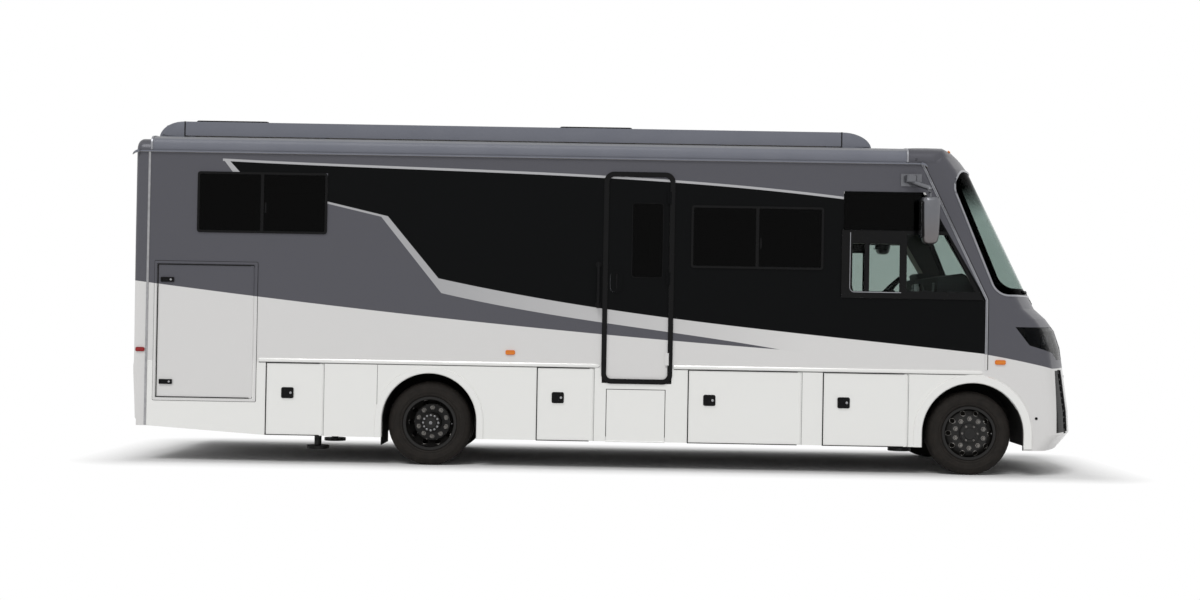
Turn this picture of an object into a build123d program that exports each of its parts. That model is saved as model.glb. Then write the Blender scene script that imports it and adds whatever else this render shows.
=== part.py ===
"""A class A motorhome: coach body on a ladder chassis, with its doors, lockers, steering, wheels and jacks.

Millimetres. +X is forward, +Y is the driver's (left) side, +Z is up. The origin lies on the ground
under the middle of the coach. Each named piece is one STEP file in parts/.
"""

import os
from math import atan2, cos, hypot, pi, sin, sqrt

from build123d import *

os.makedirs("parts", exist_ok=True)

# ---------------------------------------------------------------- driving dimensions
wheelbase = 5283
front_axle_x = 3500
rear_axle_x = front_axle_x - wheelbase
rear_x = -4705  # back face of the rear cap
half_width = 1270  # centre plane to the outer skin

skirt_z = 272  # lower edge of the skirts
tail_z = skirt_z + 74  # lower edge of the rear cap
tail_x = -3385  # where the skirt starts to climb towards it
floor_z = 985  # underside of the coach floor, and the split between wall and skirt
floor_thick = 55
eave_z = 3040  # gutter line, where the wall meets the roof edge
roof_edge_z = 3160
crown_z = 3195
ceiling_z = 3095
wall_thick = 45
skirt_thick = 55
inner_y = half_width - wall_thick
bay_front_y = half_width - skirt_thick
gap = 7  # shut line round a door or lid
seat_gap = 6  # behind a closed lid
fit = 0.4  # round a piece let into the caps
turning_gap = 0.9  # round a rod or shaft that moves in its sleeve
cut_y = 1400  # a side-view cut made this far out passes clear of both flanks

# front seam: the line where the wall stops and the moulded front cap starts
seam_top_x = 2854
seam_low_x = 3635
seam_low_z = 1717
rear_seam_x = -4560
rear_wall_x = rear_x + 62  # inner face of the rear cap

# wheels
tyre_radius = 410
tyre_width = 245
rim_radius = 262  # outside of the rim flange
hub_z = tyre_radius
front_tyre_y = 1082  # centre plane of the front tyre
dual_half_pitch = 143
outer_dual_y = 1082
inner_dual_y = outer_dual_y - 2 * dual_half_pitch
kingpin_y = 950
bead_radius = 250  # where the tyre sits on the rim
hub_radius = 95
front_hub_y = (1040, 1240)
rear_hub_y = (870, 1090)
axle_end_radius = 38

# wheel arches: centre of the opening, its height, its radius, and the width of the flare round it
front_arch = (front_axle_x + 21, 411, 494)
rear_arch = (rear_axle_x, 440, 464)
arches = [
    (*front_arch, 82),
    (*rear_arch, 69),
]
flare_proud = 18

# chassis: C-section rails that open inward
rail_wall = 9
rail_y = 430  # centre of a rail
rail_width = 76
rail_low = 560
rail_high = 780
rail_rear_x = -4450
rail_front_x = 4250

# basement
bay_back_y = 620
bay_floor_z = 290
bay_plate = 15
locker_floor_z = 615
locker_top_z = 1945

# lids in the right skirt: name, rear edge, front edge, lower edge, upper edge
# (the rear edge is the free one, the front edge carries the hinge)
lids = [
    ("tall_locker_door", -4462, -3526, 630, 1925),
    ("bay_door_1", -3383, -2832, skirt_z + 6, 980),
    ("bay_door_2", -730, -190, skirt_z, 980),
    ("bay_door_3", 746, 1838, skirt_z, 980),
    ("bay_door_4", 2062, 2875, skirt_z, 980),
]
left_lids = ("tall_locker_door", "bay_door_3", "bay_door_4")
lid_thick = 20
hinge_radius = 6.6
hinge_sunk = 2  # hinge axis behind the outer skin

# bays behind the lids: name, rear wall, front wall
bays = [
    ("bay_1", -3400, -2262),
    ("bay_2", -1270, -150),
    ("bay_3", 620, 1900),
    ("bay_4", 1950, 2920),
]
locker_x = (-4490, -3495)

# entry door and the fold-down step under it
door_x = (-108, 586)
door_z = (835, 2906)
door_frame_width = 44
door_frame_radius = 95
door_thick = 45
frame_seat = 6  # the doorway is this much smaller than the frame's face all round
step_x = (-50, 517)
step_z = (skirt_z + 2, 778)
well_depth = 400
well_floor_z = 860

# side windows on the right: rear edge, front edge, lower edge, upper edge
window_lap = 28  # how far the glass laps over the wall round its opening
glass_thick = 9
bedroom_window = (-4090, -2816, 2245, 2842)
lounge_window = (748, 2040, 1980, 2592)
cab_panel = (2235, 2385, 2754)  # dark pane over the cab window: rear edge, lower edge, upper edge
cab_window = (2215, 1712, 2378)
pane_to_seam = 24
galley_window = (-420, 420, 2050, 2592)  # on the left, where the right side has its door
door_window = (170, 478, 1873, 2606)

# side profile of the moulded front cap on the centre plane: height, and how far forward it reaches
cap_profile = [
    (255, 4575),
    (410, 4705),
    (620, 4692),
    (1250, 4600),
    (1420, 4540),
    (1540, 4450),
    (1640, 4335),
    (1834, 4231),
    (2993, 3653),
    (3110, 3565),
    (3205, 3330),
]
nose_corner = 160
bow_radius = 2350  # plan radius of the nose and windscreen
cap_depth = 2200  # from the nose back past the seam, where the cap is cut off
cap_top_z = 3400  # above the whole coach


def finish(part, name):
    """Labels a finished piece and writes its STEP file."""
    part.label = name
    export_step(part, f"parts/{name}.step")


base_centre = (Align.CENTER, Align.CENTER, Align.MIN)


def block(x0, x1, y0, y1, z0, z1, mode=Mode.ADD):
    """A box from its limits, in the part that is being built."""
    with Locations(((x0 + x1) / 2, (y0 + y1) / 2, (z0 + z1) / 2)):
        return Box(x1 - x0, y1 - y0, z1 - z0, mode=mode)


def mirrored(part):
    """The same piece on the other side of the coach."""
    return mirror(part, about=Plane.XZ)


def lane(side, near, far):
    """Limits across Y of a strip between two distances from the centre plane, on one side."""
    return sorted((side * near, side * far))


def both_sides(part):
    """A piece and its mirror image as one compound."""
    return Compound(children=[*part.solids(), *mirrored(part).solids()])


def nose_outline(centre_x, inset):
    """Plan outline of the front cap: straight flanks, round corners and a bowed nose."""
    y = half_width - inset
    bow = bow_radius - inset
    r = nose_corner - inset
    x0 = centre_x - inset - bow
    cx = x0 + sqrt((bow - r) ** 2 - (y - r) ** 2)
    lean = atan2(y - r, cx - x0)
    half = (lean + pi / 2) / 2
    tangent = (x0 + bow * cos(lean), bow * sin(lean))
    middle = (cx + r * cos(half), y - r + r * sin(half))
    back_x = centre_x - cap_depth
    with BuildLine() as outline:
        Line((back_x, -y), (cx, -y))
        ThreePointArc((cx, -y), (middle[0], -middle[1]), (tangent[0], -tangent[1]))
        ThreePointArc((tangent[0], -tangent[1]), (x0 + bow, 0), tangent)
        ThreePointArc(tangent, middle, (cx, y))
        Line((cx, y), (back_x, y))
        Line((back_x, y), (back_x, -y))
    return outline.line.edges()


def cap_solid(inset, low=cap_profile[0][0], high=cap_profile[-1][0]):
    """Solid inside the front cap's skin, taken in by inset: one slanted layer per step of its profile."""
    with BuildPart() as body:
        for (z0, x0), (z1, x1) in zip(cap_profile, cap_profile[1:]):
            if z1 > low and z0 < high:
                with BuildSketch(Plane.XY.offset(z0)):
                    make_face(nose_outline(x0, inset))
                extrude(dir=(x1 - x0, 0, z1 - z0), amount=hypot(x1 - x0, z1 - z0))
    return body.part


def coach_profile(y, edge, crown, low):
    """Cross-section of the coach across Y and Z: straight sides, round roof edges, a crowned roof."""
    r = edge - eave_z
    with BuildLine() as profile:
        Line((-y, low), (-y, eave_z))
        RadiusArc((-y, eave_z), (-y + r, edge), r)
        ThreePointArc((-y + r, edge), (0, crown), (y - r, edge))
        RadiusArc((y - r, edge), (y, eave_z), r)
        Line((y, eave_z), (y, low))
        Line((y, low), (-y, low))
    return profile.line.edges()


def arch_shape(x, z, radius, low=0, mode=Mode.ADD):
    """Side view of a wheel arch: a half round with straight legs down to low."""
    with Locations((x, z)):
        Circle(radius, mode=mode)
    with Locations((x, (z + low) / 2)):
        Rectangle(2 * radius, z - low, mode=mode)


def skirt_outline():
    """Side view of a skirt from the rear seam to the front cap, with the rising tail."""
    Polygon(
        (rear_seam_x, tail_z),
        (tail_x, skirt_z),
        (seam_low_x, skirt_z),
        (seam_low_x, floor_z),
        (rear_seam_x, floor_z),
        align=None,
    )


def opening(x0, x1, z0, z1, lap, radius=30, mode=Mode.ADD):
    """A rounded rectangle in side view, grown by lap on every side."""
    with Locations(((x0 + x1) / 2, (z0 + z1) / 2)):
        RectangleRounded(x1 - x0 + 2 * lap, z1 - z0 + 2 * lap, radius, mode=mode)


def seam_x(z):
    """Where the front seam lies at a height."""
    if z >= eave_z:
        return seam_top_x
    if z <= seam_low_z:
        return seam_low_x
    return seam_low_x + (seam_top_x - seam_low_x) * (z - seam_low_z) / (eave_z - seam_low_z)


# ---------------------------------------------------------------- side walls
def slanted_pane(x0, z0, z1, lap):
    """Side view of a pane whose front edge runs along the seam."""
    margin = pane_to_seam + lap
    Polygon(
        (x0 + lap, z0 + lap),
        (seam_x(z0 + lap) - margin, z0 + lap),
        (seam_x(z1 - lap) - margin, z1 - lap),
        (x0 + lap, z1 - lap),
        align=None,
    )


def side_wall(windows, doors):
    """Side wall on the right with its window and door openings."""
    with BuildPart() as wall:
        with BuildSketch(Plane.XZ.offset(half_width - wall_thick)):
            Polygon(
                (rear_seam_x, floor_z),
                (seam_low_x, floor_z),
                (seam_low_x, seam_low_z),
                (seam_top_x, eave_z),
                (rear_seam_x, eave_z),
                align=None,
            )
        extrude(amount=wall_thick)
        with BuildSketch(Plane.XZ.offset(half_width - 2 * wall_thick)):
            for window in windows:
                opening(*window, -window_lap)
            for door, radius in doors:
                opening(*door, gap, radius)
            slanted_pane(*cab_panel, window_lap)
            slanted_pane(*cab_window, window_lap)
        extrude(amount=3 * wall_thick, mode=Mode.SUBTRACT)
    return wall.part


locker_hole = (lids[0][1:], 6)
frame_lap = 13  # how far the door frame's face laps over the wall
entry_hole = (
    (door_x[0] + frame_lap, door_x[1] - frame_lap, door_z[0] + frame_lap, door_z[1] - frame_lap),
    door_frame_radius - 10,
)
right_windows = (bedroom_window, lounge_window)
left_windows = (bedroom_window, lounge_window, galley_window)
finish(side_wall(right_windows, (locker_hole, entry_hole)), "right_sidewall")
finish(mirrored(side_wall(left_windows, (locker_hole,))), "left_sidewall")

# ---------------------------------------------------------------- side glass
def side_glass(windows):
    """Panes on the right, laid on the outside of the wall."""
    with BuildPart() as glass:
        with BuildSketch(Plane.XZ.offset(half_width)):
            for window in windows:
                opening(*window, 0)
            slanted_pane(*cab_panel, 0)
            slanted_pane(*cab_window, 0)
        extrude(amount=glass_thick)
    return glass.part


panes = [*side_glass(right_windows).solids(), *mirrored(side_glass(left_windows)).solids()]
finish(Compound(children=panes), "side_windows")

# ---------------------------------------------------------------- roof
with BuildPart() as roof:
    with BuildSketch(Plane.YZ.offset(rear_seam_x)):
        make_face(coach_profile(half_width, roof_edge_z, crown_z, 0))
        Rectangle(3 * half_width, 2 * eave_z, mode=Mode.SUBTRACT)
        with Locations((0, eave_z)):
            Rectangle(2 * (inner_y - wall_thick), 2 * (ceiling_z - eave_z), mode=Mode.SUBTRACT)
    extrude(amount=seam_top_x - rear_seam_x)
finish(roof.part, "roof")

# ---------------------------------------------------------------- floor with the stepwell
floor_front_x = 4150
floor_top_z = floor_z + floor_thick
well_x = (door_x[0] + 8, door_x[1] - 8)
well_y = (-inner_y, -inner_y + well_depth)
well_wall = 15
well_plate = 25
with BuildPart() as floor:
    block(rear_wall_x, floor_front_x, -inner_y, inner_y, floor_z, floor_top_z)
    for side in (-1, 1):
        locker_y = lane(side, bay_back_y - bay_plate, inner_y + 1)
        block(*locker_x, *locker_y, floor_z - 1, floor_top_z + 1, Mode.SUBTRACT)
    block(*well_x, well_y[0] - 1, well_y[1], floor_z - 1, floor_top_z + 1, Mode.SUBTRACT)
    block(well_x[0] - well_wall, well_x[1] + well_wall, -bay_front_y, well_y[1] + well_wall,
          well_floor_z - well_plate, floor_z)
    block(*well_x, well_y[0] - 1, well_y[1], well_floor_z, floor_z + 1, Mode.SUBTRACT)
finish(floor.part, "floor")

# ---------------------------------------------------------------- skirts
lid_land = 20  # width of the ledge that a closed lid lies over


def skirt(cuts, doorway):
    """A skirt slab on the right with both arches and the given lid openings."""
    outside_y = -half_width - 1
    rebate_y = -half_width + lid_thick + seat_gap
    hole_y = -bay_front_y + 1
    with BuildPart() as slab:
        with BuildSketch(Plane.XZ.offset(bay_front_y)):
            skirt_outline()
            for x, z, radius, _ in arches:
                arch_shape(x, z, radius, mode=Mode.SUBTRACT)
        extrude(amount=skirt_thick)
        for _, x0, x1, z0, z1 in cuts:
            rebate_low = 0 if z0 < bay_floor_z else z0 - gap
            block(x0 - gap, x1 + gap, outside_y, rebate_y, rebate_low, z1 + gap, Mode.SUBTRACT)
            hole_low = max(z0 + lid_land, bay_floor_z + bay_plate)
            block(x0 + lid_land, x1 - lid_land, outside_y, hole_y, hole_low, z1 - lid_land, Mode.SUBTRACT)
        if doorway:
            block(door_x[0] + frame_seat, door_x[1] - frame_seat, outside_y, hole_y,
                  door_z[0] + frame_seat, floor_z + 1, Mode.SUBTRACT)
    return slab.part


step_lid = ("entry_step", *step_x, *step_z)
finish(skirt([*lids, step_lid], True), "right_skirt")
finish(mirrored(skirt([lid for lid in lids if lid[0] in left_lids], False)), "left_skirt")

# ---------------------------------------------------------------- basement bays and tall lockers
def bay(x0, x1):
    """An open-fronted tray under the floor, on the right."""
    with BuildPart() as tray:
        block(x0, x1, -bay_front_y, -bay_back_y + bay_plate, bay_floor_z, floor_z)
        block(x0 + bay_plate, x1 - bay_plate, -bay_front_y - 1, -bay_back_y,
              bay_floor_z + bay_plate, floor_z + 1, Mode.SUBTRACT)
    return tray.part


with BuildPart() as locker:
    block(*locker_x, -bay_front_y, -bay_back_y + bay_plate,
          locker_floor_z - bay_plate, locker_top_z + bay_plate)
    block(locker_x[0] + bay_plate, locker_x[1] - bay_plate, -bay_front_y - 1, -bay_back_y,
          locker_floor_z, locker_top_z, Mode.SUBTRACT)

right_bays = [bay(x0, x1) for _, x0, x1 in bays]
storage_bays = Compound(
    children=[s for p in [*right_bays, *map(mirrored, right_bays), locker.part,
                          mirrored(locker.part)] for s in p.solids()]
)
finish(storage_bays, "storage_bays")


# ---------------------------------------------------------------- wheel arch flares and gutters
with BuildPart() as flares:
    for x, z, radius, width in arches:
        with BuildSketch(Plane.XZ.offset(half_width)):
            arch_shape(x, z, radius + width, skirt_z)
            arch_shape(x, z, radius, mode=Mode.SUBTRACT)
            with Locations((x, 0)):
                Rectangle(3 * radius, 2 * skirt_z, mode=Mode.SUBTRACT)
        extrude(amount=flare_proud)
    rims = faces().group_by(Axis.Y)[0].edges().filter_by(lambda edge: edge.length > 100)
    chamfer(rims, 0.4 * flare_proud)
finish(both_sides(flares.part), "arch_flares")

gutter_x = (-4634, 2976)
gutter_slope = 60  # how far its lower edge runs on past each end
gutter_tall = 14
gutter_proud = 22
gutter_lip = 4
with BuildPart() as gutter:
    with BuildSketch(Plane.XZ.offset(half_width)):
        Polygon(
            (gutter_x[0] - gutter_slope, eave_z - gutter_tall),
            (gutter_x[1] + gutter_slope, eave_z - gutter_tall),
            (gutter_x[1], eave_z),
            (gutter_x[0], eave_z),
            align=None,
        )
    extrude(amount=gutter_proud)
    block(gutter_x[0] - 20, gutter_x[1] + 20, -half_width - gutter_proud + gutter_lip,
          -half_width - gutter_lip - 1, eave_z - gutter_tall + gutter_lip, eave_z + 1, Mode.SUBTRACT)
finish(both_sides(gutter.part), "gutters")


# ---------------------------------------------------------------- lids and doors
def lid(x0, x1, z0, z1, pads):
    """A flush lid on the right with its hinge barrel along its front edge and pads for its latches."""
    with BuildPart() as leaf:
        block(x0, x1, -half_width, -half_width + lid_thick, z0, z1)
        with BuildSketch(Plane.XY.offset(z0 + hinge_set)):
            with Locations((x1, -half_width + hinge_sunk)):
                Circle(hinge_radius)
        extrude(amount=z1 - z0 - 2 * hinge_set)
        for x, z, width, height in pads:
            with BuildSketch(Plane.XZ.offset(half_width)):
                with Locations((x, z)):
                    RectangleRounded(width, height, 0.24 * height)
            extrude(amount=pad_proud)
    return leaf.part


hinge_set = 12  # the barrel starts this far in from the lid's ends
pad_proud = 6
bay_pad = (205, 690, 128, 115)  # from the free edge, height above the ground, width, height
locker_pads = [(88, 778, 128, 50), (88, 1777, 128, 50)]
for name, x0, x1, z0, z1 in lids:
    pads = locker_pads if name == "tall_locker_door" else [bay_pad]
    pads = [(x0 + from_edge, z, width, height) for from_edge, z, width, height in pads]
    leaf = lid(x0, x1, z0, z1, pads)
    finish(leaf, f"{name}_right")
    if name in left_lids:
        finish(mirrored(leaf), f"{name}_left")

with BuildPart() as entry_step:
    block(step_x[0], step_x[1], -half_width, -half_width + lid_thick, *step_z)
    with BuildSketch(Plane.YZ.offset(step_x[0] - hinge_radius)):
        with Locations((-half_width + hinge_sunk, step_z[0])):
            Circle(hinge_radius)
    extrude(amount=step_x[1] - step_x[0] + 2 * hinge_radius)
finish(entry_step.part, "entry_step")

# ---------------------------------------------------------------- entry door
leaf_x = (door_x[0] + door_frame_width + 5, door_x[1] - door_frame_width - 5)
leaf_z = (door_z[0] + door_frame_width + 5, door_z[1] - door_frame_width - 5)
with BuildPart() as entry_door_frame:
    with BuildSketch(Plane.XZ.offset(half_width)):
        opening(*door_x, *door_z, 0, door_frame_radius)
        opening(*door_x, *door_z, -door_frame_width, door_frame_radius - door_frame_width,
                mode=Mode.SUBTRACT)
    extrude(amount=14)
    with BuildSketch(Plane.XZ.offset(half_width - wall_thick)):
        opening(*door_x, *door_z, -frame_seat - 1, door_frame_radius - 11)
        opening(*door_x, *door_z, -door_frame_width, door_frame_radius - door_frame_width,
                mode=Mode.SUBTRACT)
    extrude(amount=wall_thick)
finish(entry_door_frame.part, "entry_door_frame")

door_hinge_y = half_width + 24
door_hinge_x = leaf_x[1] + 3
door_barrel = (9.7, 120)  # radius and length
hinge_levels = (leaf_z[0] + 200, (leaf_z[0] + leaf_z[1]) / 2, leaf_z[1] - 200)
handle_pad = (27, 1831, 122, 212)  # centre, height of the centre, width, height
with BuildPart() as entry_door:
    with BuildSketch(Plane.XZ.offset(half_width - wall_thick + 6)):
        opening(*leaf_x, *leaf_z, 0, 46)
        opening(*door_window, -window_lap, 20, mode=Mode.SUBTRACT)
    extrude(amount=door_thick)
    for z in hinge_levels:
        with BuildSketch(Plane.XY.offset(z - door_barrel[1] / 2)):
            with Locations((door_hinge_x, -door_hinge_y)):
                Circle(door_barrel[0])
            with Locations((door_hinge_x - 15, -door_hinge_y + 8)):
                Rectangle(24, 22)
        extrude(amount=door_barrel[1])
    with BuildSketch(Plane.XZ.offset(half_width + 6)):
        with Locations(handle_pad[:2]):
            RectangleRounded(*handle_pad[2:], 55)
    extrude(amount=10)
finish(entry_door.part, "entry_door")

with BuildPart() as entry_door_window:
    with BuildSketch(Plane.XZ.offset(half_width + 6)):
        opening(*door_window, 0, 24)
    extrude(amount=5)
finish(entry_door_window.part, "entry_door_window")

# ---------------------------------------------------------------- front cap and windscreen
def behind_seam():
    """Side view of everything behind the front seam."""
    Polygon(
        (0, 0),
        (seam_low_x, 0),
        (seam_low_x, seam_low_z),
        (seam_top_x, eave_z),
        (seam_top_x, cap_top_z),
        (0, cap_top_z),
        align=None,
    )


# windscreen, wrapped round both corners: lower edge, upper edge, and where its back edge meets each
screen_z = (1775, 2990)
screen_back_x = (3745, 3235)
screen_corner = 170
nose_end_x = 5000  # ahead of the whole coach


def screen_block(clearance):
    """All that lies in the windscreen's outline in side view, taken in by a clearance."""
    low, high = screen_z[0] + clearance, screen_z[1] - clearance
    back_low, back_high = screen_back_x[0] + clearance, screen_back_x[1] + clearance
    with BuildPart() as body:
        with BuildSketch(Plane.XZ.offset(-cut_y)):
            Polygon((back_low, low), (nose_end_x, low), (nose_end_x, high), (back_high, high), align=None)
            fillet(vertices().sort_by(Axis.X)[:2], screen_corner - clearance)
        extrude(amount=2 * cut_y)
    return body.part


with BuildPart() as cap_hollow:
    add(cap_solid(wall_thick))
    block(0, nose_end_x, -half_width, half_width, ceiling_z, cap_top_z, Mode.SUBTRACT)

# headlight, wrapped round the corner: side view of its outline, and its edge towards the middle
headlight = [(3922, 1458), (4800, 1460), (4800, 1140), (4385, 1140), (4310, 1208), (4060, 1282)]
headlight_inner_y = 660


def headlight_blocks(clearance):
    """All that lies in the headlights' outline on both sides, taken in by a clearance."""
    with BuildPart() as body:
        with BuildSketch(Plane.XZ.offset(headlight_inner_y + clearance)):
            Polygon(*headlight, align=None)
            if clearance:
                offset(amount=-clearance, kind=Kind.INTERSECTION, mode=Mode.REPLACE)
        extrude(amount=cut_y - headlight_inner_y)
        mirror(about=Plane.XZ)
    return body.part


# openings in the nose: half the width between them, half the width to their far edge, lower, upper
side_vent = (885, 1030, 415, 1040)
intakes = [(620, 430, 640), (600, 830, 1010)]
grille_back_x = 4000


def vent_outlines(clearance):
    """Front view of the openings in the nose, or of what fits in them."""
    near, far, low, high = side_vent
    for side in (-1, 1):
        with Locations((side * (near + far) / 2, (low + high) / 2)):
            Rectangle(far - near - 2 * clearance, high - low - 2 * clearance)
    for half, z0, z1 in intakes:
        with Locations((0, (z0 + z1) / 2)):
            Rectangle(2 * (half - clearance), z1 - z0 - 2 * clearance)


def nose_shell(near, far, low, high):
    """The layer of the front cap between two insets, over a range of heights."""
    with BuildPart() as layer:
        add(cap_solid(near, low, high))
        add(cap_solid(far, low, high), mode=Mode.SUBTRACT)
    return layer.part


with BuildPart() as front_cap:
    add(cap_solid(0))
    with BuildSketch(Plane.YZ):
        make_face(coach_profile(half_width, roof_edge_z, crown_z, 0))
    extrude(amount=nose_end_x, mode=Mode.INTERSECT)
    add(cap_hollow.part, mode=Mode.SUBTRACT)
    with BuildSketch(Plane.XZ.offset(-cut_y)):
        behind_seam()
        arch_shape(*front_arch)
    extrude(amount=2 * cut_y, mode=Mode.SUBTRACT)
    with BuildSketch(Plane.YZ.offset(grille_back_x)):
        vent_outlines(0)
    extrude(amount=nose_end_x - grille_back_x, mode=Mode.SUBTRACT)
    add(screen_block(0), mode=Mode.SUBTRACT)
    add(headlight_blocks(0), mode=Mode.SUBTRACT)
finish(front_cap.part, "front_cap")

with BuildPart() as headlights:
    add(nose_shell(3, 36, 1100, 1500))
    add(headlight_blocks(fit), mode=Mode.INTERSECT)
finish(headlights.part, "headlights")

slat_pitch = 62
slot_tall = 44
rim_width = 14
with BuildPart() as grille:
    add(nose_shell(10, 30, 400, 1100))
    with BuildSketch(Plane.YZ.offset(grille_back_x)):
        vent_outlines(fit)
    extrude(amount=nose_end_x - grille_back_x, mode=Mode.INTERSECT)
    with BuildSketch(Plane.YZ.offset(grille_back_x)):
        near, far, low, high = side_vent
        for centre, half, z0, z1 in (
            (-(near + far) / 2, (far - near) / 2, low, high),
            ((near + far) / 2, (far - near) / 2, low, high),
            *((0, width, *heights) for width, *heights in intakes),
        ):
            rows = int((z1 - z0 - 2 * rim_width) // slat_pitch)
            with Locations((centre, (z0 + z1) / 2)):
                with GridLocations(0, slat_pitch, 1, rows):
                    Rectangle(2 * (half - rim_width), slot_tall)
    extrude(amount=nose_end_x - grille_back_x, mode=Mode.SUBTRACT)
finish(grille.part, "grille")

with BuildPart() as windshield:
    add(nose_shell(4, 14, screen_z[0] - 75, screen_z[1] + 60))
    add(screen_block(fit), mode=Mode.INTERSECT)
finish(windshield.part, "windshield")

# ---------------------------------------------------------------- rear cap
# side view of the back of the coach: an upright cap over a slightly fuller bumper with a ledge under it
tail_profile = [
    (rear_x - 1, 2600),
    (rear_x + 14, 1180),
    (rear_x + 14, 962),
    (rear_x + 2, 935),
    (rear_x + 26, 640),
    (rear_x + 38, 420),
    (rear_x + 50, 405),
    (rear_x + 50, tail_z - 1),
]
taillight_y = (1105, 1190)
taillight_z = (1180, 1700)
lamp_depth = 34
plate_recess = (170, 700, 870)  # half width, lower edge, upper edge
plate_depth = 30
hitch_notch = (260, 560)  # half width and top of the cut-out that lets a draw bar and its pin in
with BuildPart() as rear_cap:
    with BuildSketch(Plane.YZ.offset(rear_x)):
        make_face(coach_profile(half_width, roof_edge_z, crown_z, tail_z))
    extrude(amount=rear_seam_x - rear_x)
    fillet(edges().filter_by(Axis.Z).group_by(Axis.X)[0], 60)
    with BuildSketch(Plane.XZ.offset(-half_width - 10)):
        Polygon(*tail_profile, (rear_x - 50, tail_z - 1), (rear_x - 50, 2600), align=None)
    extrude(amount=2 * half_width + 20, mode=Mode.SUBTRACT)
    block(rear_wall_x, rear_seam_x + 1, -inner_y, inner_y, 0, ceiling_z, Mode.SUBTRACT)
    with BuildSketch(Plane.YZ.offset(rear_x - 1)):
        with Locations((0, tail_z)):
            RectangleRounded(2 * hitch_notch[0], 2 * (hitch_notch[1] - tail_z), 50)
    extrude(amount=rear_wall_x + 2 - rear_x, mode=Mode.SUBTRACT)
    block(rear_x - 1, rear_x + plate_depth, -plate_recess[0], plate_recess[0], *plate_recess[1:],
          Mode.SUBTRACT)
    for side in (-1, 1):
        block(rear_x - 1, rear_x + lamp_depth, *lane(side, *taillight_y), *taillight_z, Mode.SUBTRACT)
finish(rear_cap.part, "rear_cap")

with BuildPart() as taillights:
    for side in (-1, 1):
        block(rear_x, rear_x + lamp_depth, *lane(side, taillight_y[0] + fit, taillight_y[1] - fit),
              taillight_z[0] + fit, taillight_z[1] - fit)
finish(taillights.part, "taillights")

# ---------------------------------------------------------------- roof fairings and air conditioners
fairing_y = (960, 1110)
fairing_z = (3206, 3345)
bracket_half = 30
fairing_brackets = (-4200, -2900, -1600, -300, 1000, 2100)
with BuildPart() as fairing:
    with BuildSketch(Plane.XZ.offset(fairing_y[0])):
        Polygon(
            (-4495, fairing_z[0] + 12),
            (-4446, 3300),
            (-4347, 3335),
            (-4268, fairing_z[1]),
            (2221, fairing_z[1]),
            (2315, 3335),
            (2425, 3284),
            (2496, fairing_z[0]),
            (-4440, fairing_z[0]),
            align=None,
        )
    extrude(amount=fairing_y[1] - fairing_y[0])
    for x in fairing_brackets:
        block(x - bracket_half, x + bracket_half, -fairing_y[1] + 20, -fairing_y[0] - 10,
              roof_edge_z - 10, fairing_z[0] + 1)
with BuildPart() as roof_fairing_right:
    add(fairing.part)
    add(roof.part, mode=Mode.SUBTRACT)
finish(both_sides(roof_fairing_right.part), "roof_fairings")

unit_length = 850
unit_half_width = 350
unit_height = 250
unit_x = (-3985, -214)
with BuildPart() as air_conditioners:
    with BuildSketch(Plane.XY.offset(crown_z)):
        with Locations(*[(x, 0) for x in unit_x]):
            RectangleRounded(unit_length, 2 * unit_half_width, 90)
    extrude(amount=unit_height, taper=8)
    chamfer(faces().filter_by(Axis.Z).group_by(Axis.Z)[-1].edges(), 26)
finish(air_conditioners.part, "air_conditioners")

# ---------------------------------------------------------------- mirrors
mirror_x = 3052
mirror_y = 1485
mirror_z = (2241, 2697)
arm_radius = 17
bracket_x = (2745, 2905)


def rod(start, end, radius):
    """A round bar between two points, in the part that is being built."""
    run = Vector(*end) - Vector(*start)
    with Locations(Plane(origin=start, z_dir=run)):
        Cylinder(radius, run.length, align=base_centre)


# mirror head from below: height, length, width
head_sections = [(mirror_z[0], 118, 150), (mirror_z[0] + 60, 160, 182), (mirror_z[1], 175, 190)]
with BuildPart() as mirror_right:
    for z, length, width in head_sections:
        with BuildSketch(Plane.XY.offset(z)):
            with Locations((mirror_x, -mirror_y)):
                RectangleRounded(length, width, 48)
    loft(ruled=True)
    block(*bracket_x, -half_width - 14, -half_width, 2800, 2925)
    block(bracket_x[0] + 45, bracket_x[1] - 5, -half_width - 62, -half_width, 2838, 2905)
    elbow = (mirror_x - 20, -mirror_y, 2770)
    rod((bracket_x[1] - 55, -half_width - 50, 2870), elbow, arm_radius)
    rod((*elbow[:2], mirror_z[1] - 20), elbow, arm_radius)
    with Locations(elbow):
        Sphere(arm_radius + 3)
finish(both_sides(mirror_right.part), "mirrors")

# ---------------------------------------------------------------- grab handle
handle_x = door_x[0] - 42
handle_reach = 55
handle_z = (1572, 2022)
with BuildPart() as grab_handle:
    with BuildSketch(Plane.XY.offset(handle_z[0])):
        with Locations((handle_x, -half_width - handle_reach)):
            Circle(14)
    extrude(amount=handle_z[1] - handle_z[0])
    for z in (handle_z[0] + 28, handle_z[1] - 28):
        with BuildSketch(Plane.XZ.offset(half_width)):
            with Locations((handle_x, z)):
                Circle(12)
        extrude(amount=handle_reach)
finish(grab_handle.part, "grab_handle")

# ---------------------------------------------------------------- chassis frame
rail_in = rail_y - rail_width / 2
rail_out = rail_y + rail_width / 2
cross_x = (-4350, -3950, -3300, -2650, -1200, -300, 700, 1700, 2400, 4150)
riser_x = (-4300, -3500, -2500, -900, 0, 900, 1900, 2750, 4080)
beam_half = 40  # half the width of a crossmember or riser
jack_y = 540
jack_radius = 50
jack_rod_radius = 36
jack_rod_length = 600
jack_foot_radius = 115
jack_foot_thick = 32
jack_sleeve_z = (420, 900)
jack_bracket_z = (600, 760)
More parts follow.
